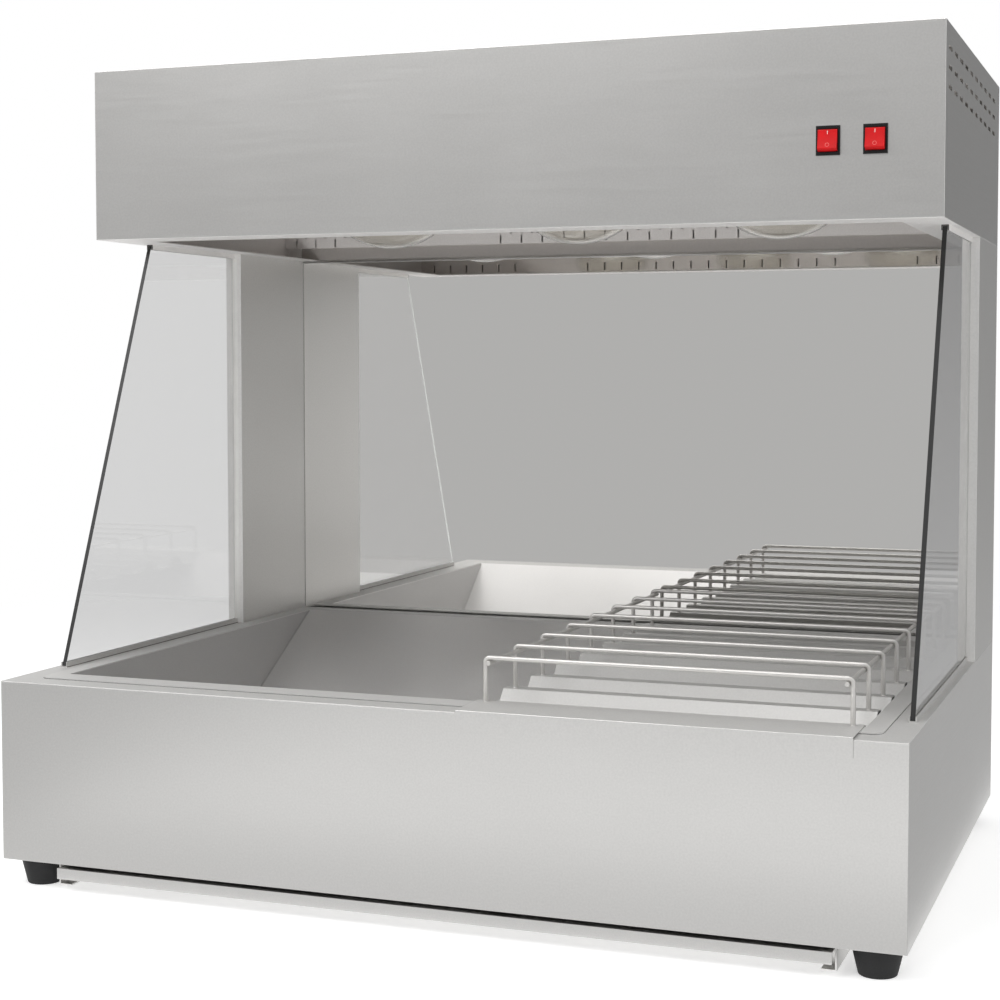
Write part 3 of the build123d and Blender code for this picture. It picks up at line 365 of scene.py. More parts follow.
def rim_strip():
    """A flat strip round a rounded rectangle: each corner is a quarter arc about its own centre, and the
    strip runs from an offset inside the outline to one outside it, between two heights."""
    quarter = np.array([(1, 1), (-1, 1), (-1, -1), (1, -1)])
    centre = np.repeat(quarter * (RIM_HALF - RIM_CORNER), CORNER_STEPS, axis=0) + (0, RIM_CENTRE_Y)
    angle = ((np.arange(4)[:, None] + np.linspace(0, 1, CORNER_STEPS)) * np.pi / 2).reshape(-1, 1)
    reach_x = RIM_CORNER + np.array([RIM_SEAL_IN, RIM_SEAL_IN, RIM_SEAL_SIDE, RIM_SEAL_SIDE])
    reach_y = RIM_CORNER + np.array([RIM_SEAL_IN, RIM_SEAL_IN, RIM_SEAL_FRONT, RIM_SEAL_FRONT])
    height = np.array([0, 1, 1, 0]) * (RIM_SEAL_Z[1] - RIM_SEAL_Z[0]) + RIM_SEAL_Z[0]
    x = centre[:, :1] + reach_x * np.cos(angle)
    y = centre[:, 1:] + reach_y * np.sin(angle)
    return np.stack([x, y, height + 0 * x], 2).reshape(-1, 3), sleeve_faces(len(angle), 4, closed=True)


# Extruded rubber is matt and a little lighter than the feet. Its dark grey is also painted shadow for the
# gap under the rim.
seal_rubber = moulded("extruded dark rubber, painted gap shadow", "#2a2a2a", roughness=0.6, grain_mm=0.6, depth_mm=0.02)
put_mesh("pan_rim_seal_gap_shadow", *rim_strip(), "pan", "foot_rubber", seal_rubber, smooth=False)

# Bows and rails: 5 mm stainless wire, tumbled to a dull shine, bent into inverted Us and welded to the
# sheet's lands, with a straight wire welded inside each row of corners.
WIRE_RADIUS = 2.5
BOW_LEGS_X = np.array([56.5, 437.5])
BEAD_SIZE, BEAD_SUNK, BEAD_RIPPLE, BEAD_SHIVER = 1.0, 0.02, 0.12, 0.08
wire_steel = rolled_stainless(
    "tumbled stainless wire", "#c9c7c4", roughness=0.34, grain_mm=0.6, cloud_mm=40.0, shine=0.65
)
dress(wire_steel, "rack_rail_left", "rack_rail_right", *[f"rack_bow_{n + 1}" for n in range(len(BOW_Y))])


def copies(points, faces, places):
    """One shape repeated at several places, as one array of points and one of faces."""
    shifts = np.arange(len(places))[:, None, None] * len(points)
    return (places[:, None, :] + points[None]).reshape(-1, 3), (faces[None] + shifts).reshape(-1, 4)


def weld_bead():
    """A fillet round a wire's foot: at angle a and climb t from 1 down to 0 its skin is at the radius
    wire + bead (1 - t)^2, with a ripple of 5 and 9 waves in a, and at the height bead t^2 above the sheet.
    The first point of each ring closes it at the foot of the wire."""
    angle = np.linspace(0, 2 * np.pi, 24, endpoint=False)
    a, t = np.meshgrid(angle, np.linspace(1, 0, 7), indexing="ij")
    ripple = 1 + BEAD_RIPPLE * np.sin(5 * a) + BEAD_SHIVER * np.cos(9 * a)
    radius = WIRE_RADIUS - BEAD_SUNK + BEAD_SIZE * ripple * (1 - t) ** 2
    radius = np.insert(radius, 0, WIRE_RADIUS - BEAD_SUNK, axis=1)
    height = np.insert(BEAD_SIZE * t**2, 0, 0, axis=1)
    turn = angle[:, None]
    points = np.stack([radius * np.cos(turn), radius * np.sin(turn), height], 2).reshape(-1, 3)
    return points, sleeve_faces(len(angle), height.shape[1], closed=True)


feet_x, feet_y = np.meshgrid(BOW_LEGS_X, BOW_Y)
feet_at = np.stack([feet_x.ravel(), feet_y.ravel(), np.full(feet_x.size, RACK_TOP)], 1)
put_mesh("rack_weld_beads", *copies(*weld_bead(), feet_at), "rack", "stainless_wire", wire_steel)

# Posts: two box columns folded from brushed sheet with the grain upright, closed in front by the groove that
# holds the glass, and screwed to the rear panel. Their narrow front faces are ground matt after folding, so
# they look pale, and their outer skins have the grey of the base.
POST_ROUGHNESS, POST_FRONT = 0.48, 160.0
POST_CHEEKS = ((-500.5, POST_FRONT - 1, 229.0), (500.5, POST_FRONT + 1, 731.0), 0.6, 0.25, "#ecebe9")
POST_SKINS = [
    ((x - 0.5, POST_FRONT - 1, 229.0), (x + 0.5, 350.0, 731.0), POST_ROUGHNESS, 1.0, "#dad9d7")
    for x in (-500.0, 500.0)
]
post_steel = brushed_stainless(
    "brushed stainless sheet, grain upright",
    "#f3f2f0",
    UPRIGHT,
    POST_ROUGHNESS,
    patches=[*POST_SKINS, POST_CHEEKS],
)
dress(post_steel, "post_left", "post_right")

# Side panes: 5 mm clear toughened glass with ground and arrissed edges, standing in small folded channels
# under and over, with silicone in the post's groove. The upper channels are ground matt, and their front
# ends carry painted shade: a dark band for the shadow at the top of the glass edge.
GLASS_IOR, GRIND_SIZE, GRIND_GLOSS = 1.45, 0.8, (0.2, 0.5)
EDGE_TURN, FACE_TURN = 0.3, 0.7


def pane_glass(name, hex_code, front_hex, bedded_hex):
    """Clear glass on the faces that look sideways and a ground edge on the narrow faces, told apart by the
    surface's own direction, which turns round where it is seen from inside. The free front edge is nearly
    black from outside, because light is trapped along the pane, and glows where it shows through the pane,
    because its grinding lets light in. The edges that are bedded in are pale."""
    material, tree, place = start_material(name)
    facing = add(tree, "SeparateXYZ", {0: add(tree, "TexCoord").outputs["Normal"]})
    from_inside = add(tree, "NewGeometry").outputs["Backfacing"]
    is_front = add(tree, "Math", {0: facing.outputs[1], 1: -EDGE_TURN}, operation="LESS_THAN")
    outside = {0: is_front.outputs[0], 1: from_inside}
    is_dark = add(tree, "Math", outside, operation="GREATER_THAN")
    is_turned = add(tree, "Math", {0: facing.outputs[1], 1: EDGE_TURN}, operation="GREATER_THAN")
    through = {0: is_turned.outputs[0], 1: from_inside}
    is_glowing = add(tree, "Math", through, operation="MULTIPLY")
    sideways = add(tree, "Math", {0: facing.outputs[0]}, operation="ABSOLUTE")
    is_face = add(tree, "Math", {0: sideways.outputs[0], 1: FACE_TURN}, operation="GREATER_THAN")
    skin = {"Base Color": linear(hex_code), "Roughness": 0.0, "IOR": GLASS_IOR, "Transmission Weight": 1.0}
    clear = add(tree, "BsdfPrincipled", skin)
    colours = {"Factor": is_dark.outputs[0], 6: linear(bedded_hex), 7: linear(front_hex)}
    edge = add(tree, "Mix", colours, data_type="RGBA")
    grind = add(tree, "TexNoise", {"Vector": place, "Scale": 1000 / GRIND_SIZE, "Detail": 2.0})
    span = {"To Min": GRIND_GLOSS[0], "To Max": GRIND_GLOSS[1]}
    gloss = add(tree, "MapRange", {"Value": grind.outputs[0], **span})
    skin = {"Base Color": edge.outputs[2], "Roughness": gloss.outputs[0], "IOR": GLASS_IOR}
    ground = add(tree, "BsdfPrincipled", skin)
    frosted = add(tree, "BsdfTranslucent", {"Color": linear(bedded_hex)})
    edges = {0: is_glowing.outputs[0], 1: ground.outputs[0], 2: frosted.outputs[0]}
    edge_look = add(tree, "MixShader", edges)
    sides = {0: is_face.outputs[0], 1: edge_look.outputs[0], 2: clear.outputs[0]}
    return finish_material(material, add(tree, "MixShader", sides))


# Satin and ground channels look pale and quiet.
toughened = pane_glass("clear toughened glass, ground edge", "#dadada", "#181818", "#d4d8d6")
dress(toughened, "glass_left", "glass_right")
channel_steel = brushed_stainless(
    "satin stainless channel", "#dddcda", FRONT_TO_BACK, roughness=0.5, shine=0.85
)
dress(channel_steel, "glass_sill_left", "glass_sill_right")
HEAD_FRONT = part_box("glass_head_left")[0][1] * 1000
# Painted shade: a dark band across the channel's front end, for the shadow at the top of the glass edge.
HEAD_END = ((-501.0, HEAD_FRONT - 0.5, 720.0), (501.0, HEAD_FRONT + 0.5, 731.0), 0.5, 0.8, "#5c5a58")
head_steel = brushed_stainless(
    "ground stainless channel, matt", "#f4f2f0", FRONT_TO_BACK, roughness=0.6, shine=0.15, patches=[HEAD_END]
)
dress(head_steel, "glass_head_left", "glass_head_right")

PANE_MIDDLE, PANE_HALF, PANE_BACK = 487.5, 2.5, 167.7
GROOVE_HALF, GROOVE_Y = 3.0, (159.4, 168.0)
SEAL_GAP, SEAL_Z = 0.02, (231.2, 728.8)
SILL_BEAD, POST_BEAD, POST_BEAD_Z = 0.9, 4.8, (236.2, 723.8)
BEAD_BITE, BEAD_HOLLOW = 0.05, 0.36
outer, inner = GROOVE_HALF - SEAL_GAP, PANE_HALF + SEAL_GAP
mouth, behind, bottom = GROOVE_Y[0], PANE_BACK + SEAL_GAP, GROOVE_Y[1] - SEAL_GAP
seal_x = np.array([-outer, -inner, -inner, inner, inner, outer, outer, -outer])
seal_y = np.array([mouth, mouth, behind, behind, mouth, mouth, bottom, bottom])
seal_ring = np.stack([seal_x, seal_y], 1)
foot_end = [(7, 2, 1, 0), (7, 6, 3, 2), (6, 5, 4, 3)]
head_end = [(8, 9, 10, 15), (10, 11, 14, 15), (11, 12, 13, 14)]
seal_faces = np.concatenate([grid_faces(2, len(seal_ring), wrap_columns=True), foot_end, head_end])


def corner_bead(ends, first_way, second_way, size):
    """A bead of sealant along the corner of two faces: a section with a hollow front, which reaches the size
    along each of the two ways out of the corner, carried from one end to the other."""
    first_way, second_way = np.array(first_way), np.array(second_way)
    if np.dot(np.cross(first_way, second_way), ends[1] - ends[0]) < 0:
        ends = ends[::-1]
    bite, hollow = -BEAD_BITE, BEAD_HOLLOW
    section = np.array([(bite, bite), (1, bite), (hollow, hollow), (bite, 1)])
    ring = (section[:, :1] * first_way + section[:, 1:] * second_way) * size
    return (ends[:, None] + ring[None]).reshape(-1, 3), sleeve_faces(2, 4)


# Cured silicone has a soft shine, and is clear in the grooves. The grey bead along each sill is partly
# sealant and partly painted shadow: its grey stands for the shadow gap under the channel.
silicone = moulded(
    "clear silicone seal", "#eaeae7", roughness=0.4, grain_mm=0.9, depth_mm=0.01, mottling=0.02
)
bead_grey = moulded("grey silicone bead, painted gap shadow", "#6a6662", roughness=0.5, grain_mm=0.9, depth_mm=0.01)
for side, way in (("left", -1), ("right", 1)):
    ring = seal_ring + (way * PANE_MIDDLE, 0)
    seal_points = np.concatenate([np.insert(ring, 2, z, axis=1) for z in SEAL_Z])
    put_mesh(f"pane_seal_{side}", seal_points, seal_faces, "cabinet", "white_nylon", silicone, smooth=False)
    sill_low, sill_high = (np.array(corner) * 1000 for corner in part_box(f"glass_sill_{side}"))
    sill_x = sill_high[0] if way < 0 else sill_low[0]
    sill_ends = np.array([(sill_x, y, sill_low[2]) for y in (sill_low[1], sill_high[1])])
    # Painted shadow: the grey sill bead stands for the shadow gap along the channel's foot.
    bead = corner_bead(sill_ends, (-way, 0.0, 0.0), (0.0, 0.0, 1.0), SILL_BEAD)
    put_mesh(f"sill_bead_gap_shadow_{side}", *bead, "cabinet", "foot_rubber", bead_grey, smooth=False)
    post_ends = np.array([(way * (PANE_MIDDLE - PANE_HALF), POST_FRONT, z) for z in POST_BEAD_Z])
    bead = corner_bead(post_ends, (-way, 0.0, 0.0), (0.0, -1.0, 0.0), POST_BEAD)
    put_mesh(f"post_bead_{side}", *bead, "cabinet", "white_nylon", silicone, smooth=False)

# Back: a panel of mirror-polished stainless folded like a shallow lid, in front of the plain brushed rear
# panel. Its top edge is turned into a round hem, and a thin joint of pale grey silicone fills the corner at
# each post; its grey is partly the silicone and partly painted shadow for the gap in that corner.
BUFF_SIZE, BUFF_SWING = 60.0, 0.3


def polished_stainless(name, hex_code, roughness):
    """Stainless polished to a mirror: almost no haze, with a faint wander in it from the buffing wheel."""
    material, tree, place = start_material(name)
    buff = add(tree, "TexNoise", {"Vector": place, "Scale": 1000 / BUFF_SIZE, "Detail": 3.0})
    span = {**NOISE_SPAN, "To Min": roughness * (1 - BUFF_SWING), "To Max": roughness * (1 + BUFF_SWING)}
    haze = add(tree, "MapRange", {"Value": buff.outputs[0], **span})
    skin = {"Base Color": linear(hex_code), "Metallic": 1.0, "Roughness": haze.outputs[0]}
    return finish_material(material, add(tree, "BsdfPrincipled", skin))


# The mirror shows the panes, the pan and the room almost without blur.
mirror_steel = polished_stainless("mirror-polished stainless", "#efeeec", roughness=0.015)
dress(mirror_steel, "mirror_panel")
dress(front_steel, "rear_panel")

MIRROR_HALF, MIRROR_FACE = 475.0, 346.0
HEM_TOP, HEM_PROUD, HEM_HEIGHT, HEM_SUNK = 729.8, 2.2, 3.0, 0.3
hem_turn = np.linspace(-np.pi / 2, np.pi / 2, 13)
hem_bow = np.stack([-HEM_PROUD * np.cos(hem_turn), HEM_HEIGHT / 2 * np.sin(hem_turn)], 1)
hem_back = [(HEM_SUNK, -HEM_HEIGHT / 2), (HEM_SUNK, 0.0), (HEM_SUNK, HEM_HEIGHT / 2)]
hem_ring = np.concatenate([hem_bow[::-1], hem_back]) + (MIRROR_FACE, HEM_TOP - HEM_HEIGHT / 2)
hem_points = np.concatenate([np.insert(hem_ring, 0, x, axis=1) for x in (-MIRROR_HALF, MIRROR_HALF)])
hem_faces = sleeve_faces(2, len(hem_ring))
put_mesh("mirror_top_hem", hem_points, hem_faces, "cabinet", "polished_stainless", front_steel)

JOINT_BEAD, JOINT_Z = 1.0, (231.0, 726.5)
# Painted shadow: the joint's grey stands for the shadow gap between the post and the mirror.
joint_grey = moulded(
    "pale grey silicone joint, painted gap shadow", "#a8a5a1", roughness=0.5, grain_mm=0.9, depth_mm=0.01, mottling=0.02
)
for side, way in (("left", -1), ("right", 1)):
    joint_ends = np.array([(way * MIRROR_HALF, MIRROR_FACE, z) for z in JOINT_Z])
    joint = corner_bead(joint_ends, (-way, 0.0, 0.0), (0.0, -1.0, 0.0), JOINT_BEAD)
    put_mesh(f"mirror_joint_gap_shadow_{side}", *joint, "cabinet", "foot_rubber", joint_grey, smooth=False)

# Hood: front, vented sides, top and back of brushed sheet, with a lip folded inwards underneath. The vents
# are rows of punched slots. Inside, the sheet is bright, with a ground band along its foot that scatters
# light evenly, a dulled ceiling, ground lips, and a dulled back strip coloured darker as painted shade.
ROOM_LOW, ROOM_HIGH = (-499.4, -149.4, 730.6), (499.4, 349.4, 929.4)
SKIRT_TOP, CEILING_FOOT, REAR_FRONT, REAR_TOP = 795.0, 925.0, 340.0, 749.5
HOOD_ROOM = (ROOM_LOW, ROOM_HIGH, 0.07, 1.0, STEEL_GREY)
HOOD_SKIRT = (ROOM_LOW, (*ROOM_HIGH[:2], SKIRT_TOP), 0.6, 0.15, "#efebe8")
HOOD_CEILING = ((*ROOM_LOW[:2], CEILING_FOOT), ROOM_HIGH, 0.6, 0.7, "#c9c5c2")
# Painted shade: the back's strip below the liner is coloured darker for the deep shadow there.
HOOD_REAR = ((ROOM_LOW[0], REAR_FRONT, ROOM_LOW[2]), (*ROOM_HIGH[:2], REAR_TOP), 0.6, 0.4, "#b9b4b0")
HOOD_LIPS = ((-500.5, -150.5, 729.5), (500.5, 350.5, 730.3), 0.6, 0.15, "#f4f2f0")
hood_steel = brushed_stainless(
    "brushed stainless, satin inside, grain across",
    STEEL_GREY,
    ACROSS,
    patches=[HOOD_ROOM, HOOD_SKIRT, HOOD_CEILING, HOOD_REAR, HOOD_LIPS],
)
dress(hood_steel, "hood_front", "hood_top", "hood_back")
hood_side_steel = brushed_stainless(
    "brushed stainless, bright inside, hood side",
    STEEL_GREY,
    FRONT_TO_BACK,
    patches=[HOOD_ROOM, HOOD_SKIRT, HOOD_LIPS],
)
dress(hood_side_steel, "hood_side_left", "hood_side_right")

# Hood liner, guard and lamp rail: a liner with staggered air slots in front of the hood's back, matt below
# and bright above, a polished slotted guard on the front lip, and a folded rail that carries the lamp
# holders. The bright sheets mirror the lamps and the slots.
LINER_FOOT_TOP = 840.0
LINER_FOOT = (ROOM_LOW, (*ROOM_HIGH[:2], LINER_FOOT_TOP), *HOOD_SKIRT[2:])
liner_steel = brushed_stainless(
    "satin stainless, liner", STEEL_GREY, ACROSS, roughness=0.1, patches=[LINER_FOOT]
)
dress(liner_steel, "hood_liner", "lamp_rail")
guard_steel = brushed_stainless("polished stainless, guard", "#f4f1ee", ACROSS, roughness=0.1)
dress(guard_steel, "hood_guard")

# Infrared lamps: three pressed clear glass bulbs, aluminised inside from the shoulder to the neck, with a
# glass stem that holds a coiled tungsten filament on three wires. Each has a brass screw cap, screwed into a
# glazed ceramic holder under the rail.
WAVE_SIZE, WAVE_DEPTH, WAVE_BUMP = 18.0, 0.2, 0.2
LAMP_AT = np.array([(-260.0, 175.0, 734.0), (0.0, 175.0, 734.0), (260.0, 175.0, 734.0)])
SHOULDER, SHOULDER_ANGLE = np.array([62.5, 34.0]), math.radians(95.26)
THROAT, NECK_TOP = np.array([20.0, 118.0]), np.array([17.0, 147.0])
GLASS_WALL, COAT_GAP, COAT_THICKNESS = 1.0, 0.1, 0.12


def clear_glass(name, hex_code, ior):
    """Pressed glass: clear, with a slow waviness of the surface from the press."""
    material, tree, place = start_material(name)
    wave = add(tree, "TexNoise", {"Vector": place, "Scale": 1000 / WAVE_SIZE, "Detail": 1.0})
    dents = {"Height": wave.outputs[0], "Strength": WAVE_BUMP, "Distance": WAVE_DEPTH / 1000}
    bump = add(tree, "Bump", dents)
    skin = {"Base Color": linear(hex_code), "Roughness": 0.0, "IOR": ior, "Transmission Weight": 1.0}
    return finish_material(material, add(tree, "BsdfPrincipled", {**skin, "Normal": bump.outputs[0]}))


def tangent_arc(start, end, angle, steps):
    """Points of an arc that leaves start at an angle and reaches end: the chord to the point at share t of
    the way has the angle plus h t and the length L sin(h t) / sin(h), where h is half the arc's turn."""
    chord = end - start
    half = math.atan2(chord[1], chord[0]) - angle
    t = np.linspace(0, 1, steps)
    length = np.linalg.norm(chord) * np.sin(half * t) / math.sin(half)
    return start + np.stack([length * np.cos(angle + half * t), length * np.sin(angle + half * t)], 1)


def turned(ring, sides):
    """A closed outline of (radius, height) points turned about the upright axis."""
    a = np.linspace(0, 2 * np.pi, sides, endpoint=False)[:, None]
    points = np.stack([ring[:, 0] * np.cos(a), ring[:, 0] * np.sin(a), ring[:, 1] + 0 * a], 2)
    return points.reshape(-1, 3), sleeve_faces(sides, len(ring), closed=True)


def tube(line, normal, radius, sides):
    """A round wire along a line of points: a ring of the radius in the plane of normal and binormal."""
    along = np.gradient(line, axis=0)
    along /= np.linalg.norm(along, axis=1, keepdims=True)
    normal = normal - (normal * along).sum(1, keepdims=True) * along
    normal /= np.linalg.norm(normal, axis=1, keepdims=True)
    binormal = np.cross(along, normal)
    a = np.linspace(0, 2 * np.pi, sides, endpoint=False)[None, :, None]
    points = line[:, None] + radius * (np.cos(a) * normal[:, None] + np.sin(a) * binormal[:, None])
    return points.reshape(-1, 3), sleeve_faces(len(line), sides)


# Thin glass bends little of what is behind it, so its IOR is low. The coat inside is a soft mirror.
bulb_glass = clear_glass("pressed clear lamp glass", "#f8f7f3", ior=1.2)
dress(bulb_glass, *[f"lamp_glass_{n + 1}" for n in range(len(LAMP_AT))])
flare = np.concatenate([tangent_arc(SHOULDER, THROAT, SHOULDER_ANGLE, steps=24)[2:], NECK_TOP[None]])
coat_outer = offset_line(flare, -GLASS_WALL - COAT_GAP)
coat_inner = offset_line(flare, -GLASS_WALL - COAT_GAP - COAT_THICKNESS)
coat_ring = np.concatenate([coat_outer[::-1], coat_inner])
aluminised = polished_stainless("evaporated aluminium coat", "#e8e9ea", roughness=0.06)
coats = copies(*turned(coat_ring, sides=64), LAMP_AT)
put_mesh("lamp_reflector_coats", *coats, "cabinet", "polished_stainless", aluminised)

STEM_RADII = np.array([1.6, 2.6, 3.0, 3.0, 3.4, 6.0, 9.0, 9.4])[:, None]
STEM_HEIGHTS = np.array([92.0, 92.8, 96.0, 118.0, 126.0, 138.0, 144.0, 147.0])[:, None]
stem_turn = np.linspace(0, 2 * np.pi, 24, endpoint=False)
stem_x, stem_y = STEM_RADII * np.cos(stem_turn), STEM_RADII * np.sin(stem_turn)
stem_points = np.stack([stem_x, stem_y, STEM_HEIGHTS + 0 * stem_turn], 2).reshape(-1, 3)
stem_faces = sleeve_faces(len(STEM_RADII), len(stem_turn))
put_mesh("lamp_stems", *copies(stem_points, stem_faces, LAMP_AT), "cabinet", "lamp_glass", bulb_glass)

# Drawn tungsten is a dull dark grey metal.
COIL_BOW_RADIUS, COIL_HEIGHT, COIL_REACH = 13.0, 60.0, math.radians(125)
COIL_RADIUS, COIL_WIRE, COIL_TURNS = 1.9, 0.28, 24
SUPPORT_RADIUS, SUPPORT_HEIGHT, SUPPORT_RISE, SUPPORT_WIRE = 1.4, 95.0, 1.0, 0.4
share = np.linspace(0, 1, COIL_TURNS * 12 + 1)
bow_turn = COIL_REACH * (2 * share - 1)
outward = np.stack([np.cos(bow_turn), np.sin(bow_turn), 0 * share], 1)
wind = 2 * np.pi * COIL_TURNS * share
coil_normal = np.cos(wind)[:, None] * outward + np.sin(wind)[:, None] * np.array([0, 0, 1])
coil_line = COIL_BOW_RADIUS * outward + COIL_RADIUS * coil_normal + (0, 0, COIL_HEIGHT)
tungsten = plated("drawn tungsten wire", "#77736d", roughness=0.34, cell_mm=0.8)
coils = copies(*tube(coil_line, coil_normal, COIL_WIRE, sides=6), LAMP_AT)
put_mesh("lamp_filaments", *coils, "cabinet", "plated_fastener", tungsten)
for number, turn in enumerate((-COIL_REACH, 0.0, COIL_REACH), 1):
    outward = np.array([math.cos(turn), math.sin(turn), 0.0])
    stem_end = SUPPORT_RADIUS * outward + (0, 0, SUPPORT_HEIGHT)
    coil_end = COIL_BOW_RADIUS * outward + (0, 0, COIL_HEIGHT + SUPPORT_RISE)
    sideways = np.tile([-math.sin(turn), math.cos(turn), 0.0], (2, 1))
    wires = copies(*tube(np.array([stem_end, coil_end]), sideways, SUPPORT_WIRE, sides=8), LAMP_AT)
    put_mesh(f"lamp_supports_{number}", *wires, "cabinet", "plated_fastener", tungsten)

# Stamped brass has a warm shine, and the glaze on the ceramic a clear one over off-white.
brass = plated("stamped brass", "#c9ab6b", roughness=0.26, cell_mm=2.5)
dress(brass, "lamp_caps", "switch_tabs", "inlet_pins")
ceramic = moulded("glazed ceramic", "#eae7de", roughness=0.14, grain_mm=3.0, depth_mm=0.03, spread=0.04)
dress(ceramic, "lamp_holders")

# Rocker switches: black moulded nylon housings and red polycarbonate rockers, snapped into the hood's front,
# with a white on mark and a pale red off mark printed on the two halves of each rocker. The nylon is satin,
# the red is smoother and shines along its dish, and the ink is flat.
nylon = moulded("moulded black nylon", "#0e0e0f", roughness=0.5, grain_mm=0.5, depth_mm=0.02, ior=1.35)
dress(nylon, "switch_housing_left", "switch_housing_right", "power_inlet")
red_plastic = moulded(
    "red polycarbonate rocker", "#bf0b10", roughness=0.34, grain_mm=0.6, depth_mm=0.004, spread=0.04, ior=1.35
)
dress(red_plastic, "rocker_left", "rocker_right")

ROCKER_PIVOTS = {"left": (380.8, -149.5, 812.0), "right": (429.7, -149.5, 812.0)}
ROCKER_TILT = math.radians(-9)
ROCKER_FRONT, ROCKER_DISH, ROCKER_HALF = 6.5, 0.8, 11.6
MARK_PROUD, MARK_SUNK = 0.1, 0.08
BAR_WIDTH, BAR_LENGTH, BAR_RISE = 0.45, 3.6, 6.9
RING_WIDTH, RING_RADIUS, RING_DROP = 0.4, 1.9, 6.0


def mark_band(line, aside, width, closed):
    """A flat band along a line of (x, z) points on the dished face, whose depth there is the front less a
    dish that shrinks with the square of the height: the band's section runs from half a width on one side
    to half on the other, from just under the face to just over it."""
    section = np.array([(-1, -MARK_SUNK), (-1, MARK_PROUD), (1, MARK_PROUD), (1, -MARK_SUNK)])
    flat = line[:, None] + aside[:, None] * section[None, :, :1] * width / 2
    face = ROCKER_FRONT - ROCKER_DISH * (1 - (flat[..., 1] / ROCKER_HALF) ** 2)
    points = np.stack([flat[..., 0], -face - section[None, :, 1], flat[..., 1]], 2)
    return points.reshape(-1, 3), sleeve_faces(len(line), 4, closed)


def on_rocker(points, pivot):
    """Points about the rocker's pivot turned by its rest tilt about the X axis and moved to the pivot."""
    cos, sin = math.cos(ROCKER_TILT), math.sin(ROCKER_TILT)
    return points @ np.array([(1, 0, 0), (0, cos, sin), (0, -sin, cos)]) + pivot


bar_line = np.array([(0.0, BAR_RISE + share * BAR_LENGTH) for share in (-0.5, 0.0, 0.5)])
ring_turn = np.linspace(0, 2 * np.pi, 40, endpoint=False)
ring_out = np.stack([np.cos(ring_turn), np.sin(ring_turn)], 1)
ring_line = RING_RADIUS * ring_out + (0.0, -RING_DROP)
bar_points, bar_faces = mark_band(bar_line, np.tile([1.0, 0.0], (3, 1)), BAR_WIDTH, closed=False)
ring_points, ring_faces = mark_band(ring_line, ring_out, RING_WIDTH, closed=True)
white_ink = moulded("white pad-printed ink", "#f2f2ee", roughness=0.4, grain_mm=0.4, depth_mm=0.004)
pale_ink = moulded("pale red pad-printed ink", "#d8736f", roughness=0.4, grain_mm=0.4, depth_mm=0.004)
for side, pivot in ROCKER_PIVOTS.items():
    body = f"{side}_rocker"
    bar, ring = on_rocker(bar_points, pivot), on_rocker(ring_points, pivot)
    put_mesh(f"rocker_{side}_on_mark", bar, bar_faces, body, "white_nylon", white_ink, smooth=False)
    put_mesh(f"rocker_{side}_off_mark", ring, ring_faces, body, "red_rocker", pale_ink, smooth=False)

# Terminal block: a strip of white moulded nylon under the hood's top, where the lamps' leads meet. It has the
# soft sheen and the slight cream of unpainted nylon.
white_nylon = moulded("moulded white nylon", "#e6e3da", roughness=0.4, grain_mm=0.8, depth_mm=0.02)
dress(white_nylon, "terminal_block")

# Rear screws: zinc-plated pan-head screws with a cross recess, seven down each side of the back, through the
# base back, the rear panel and the hood back.
SCREW_X, SCREW_Z = np.array([-487.5, 487.5]), np.array([70.0, 190.0, 270.0, 480.0, 690.0, 770.0, 890.0])
SCREW_FACE = 350.0
HEAD_RADII = np.array([0.05, 0.4, 0.8, 1.2, 1.6, 2.0, 2.4, 2.8, 3.3, 3.7, 3.9, 4.0, 4.0])[:, None]
HEAD_DOME = np.array([1.3, 1.3, 1.29, 1.28, 1.27, 1.25, 1.22, 1.18, 1.08, 0.9, 0.7, 0.45, 0.0])[:, None]
RECESS_HALF_WIDTH, RECESS_REACH, RECESS_DEPTH, RECESS_RUNOUT = 0.55, 2.3, 0.9, 0.6


def screw_head():
    """A pan head on a grid of radius and angle: the height is a low dome that drops to the panel at the rim,
    less a recess along two crossed arms, deepest in the middle and running out towards their ends."""
    a = np.linspace(0, 2 * np.pi, 64, endpoint=False)[None, :]
    u, v = HEAD_RADII * np.cos(a), HEAD_RADII * np.sin(a)
    near, far = np.minimum(np.abs(u), np.abs(v)), np.maximum(np.abs(u), np.abs(v))
    in_arm = (near < RECESS_HALF_WIDTH) & (far < RECESS_REACH)
    height = HEAD_DOME - RECESS_DEPTH * in_arm * (1 - RECESS_RUNOUT * far / RECESS_REACH)
    return np.stack([u, height, v], 2).reshape(-1, 3), sleeve_faces(len(HEAD_RADII), a.size)


screw_x, screw_z = np.meshgrid(SCREW_X, SCREW_Z)
screws_at = np.stack([screw_x.ravel(), np.full(screw_x.size, SCREW_FACE), screw_z.ravel()], 1)
heads = copies(*screw_head(), screws_at)
screws = put_mesh("rear_cross_screws", *heads, "cabinet", "plated_fastener", zinc, smooth=False)
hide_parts("rear_screws")

# Stage: a pale floor, soft lamps overhead and one low in front that lights the hood's underside, grey cards
# that only gloss sees, and the camera of the photograph.
WHITE, WORLD_FILL = "#ffffff", 0.7
FLOOR_HALF, FLOOR_LIFT, FLOOR_FADE = 14.0, 0.46, (0.9, 2.6)
GLASS_GAIN, OVER_FLOOR = 1.48, 0.01


def see_white(tree):
    """1 for the rays that look at the backdrop: straight from the camera, off gloss or through glass."""
    path = add(tree, "LightPath").outputs
    direct = {0: path["Is Camera Ray"], 1: path["Is Glossy Ray"]}
    seen = add(tree, "Math", direct, operation="MAXIMUM")
    either = {0: seen.outputs[0], 1: path["Is Transmission Ray"]}
    return add(tree, "Math", either, operation="MAXIMUM").outputs[0]


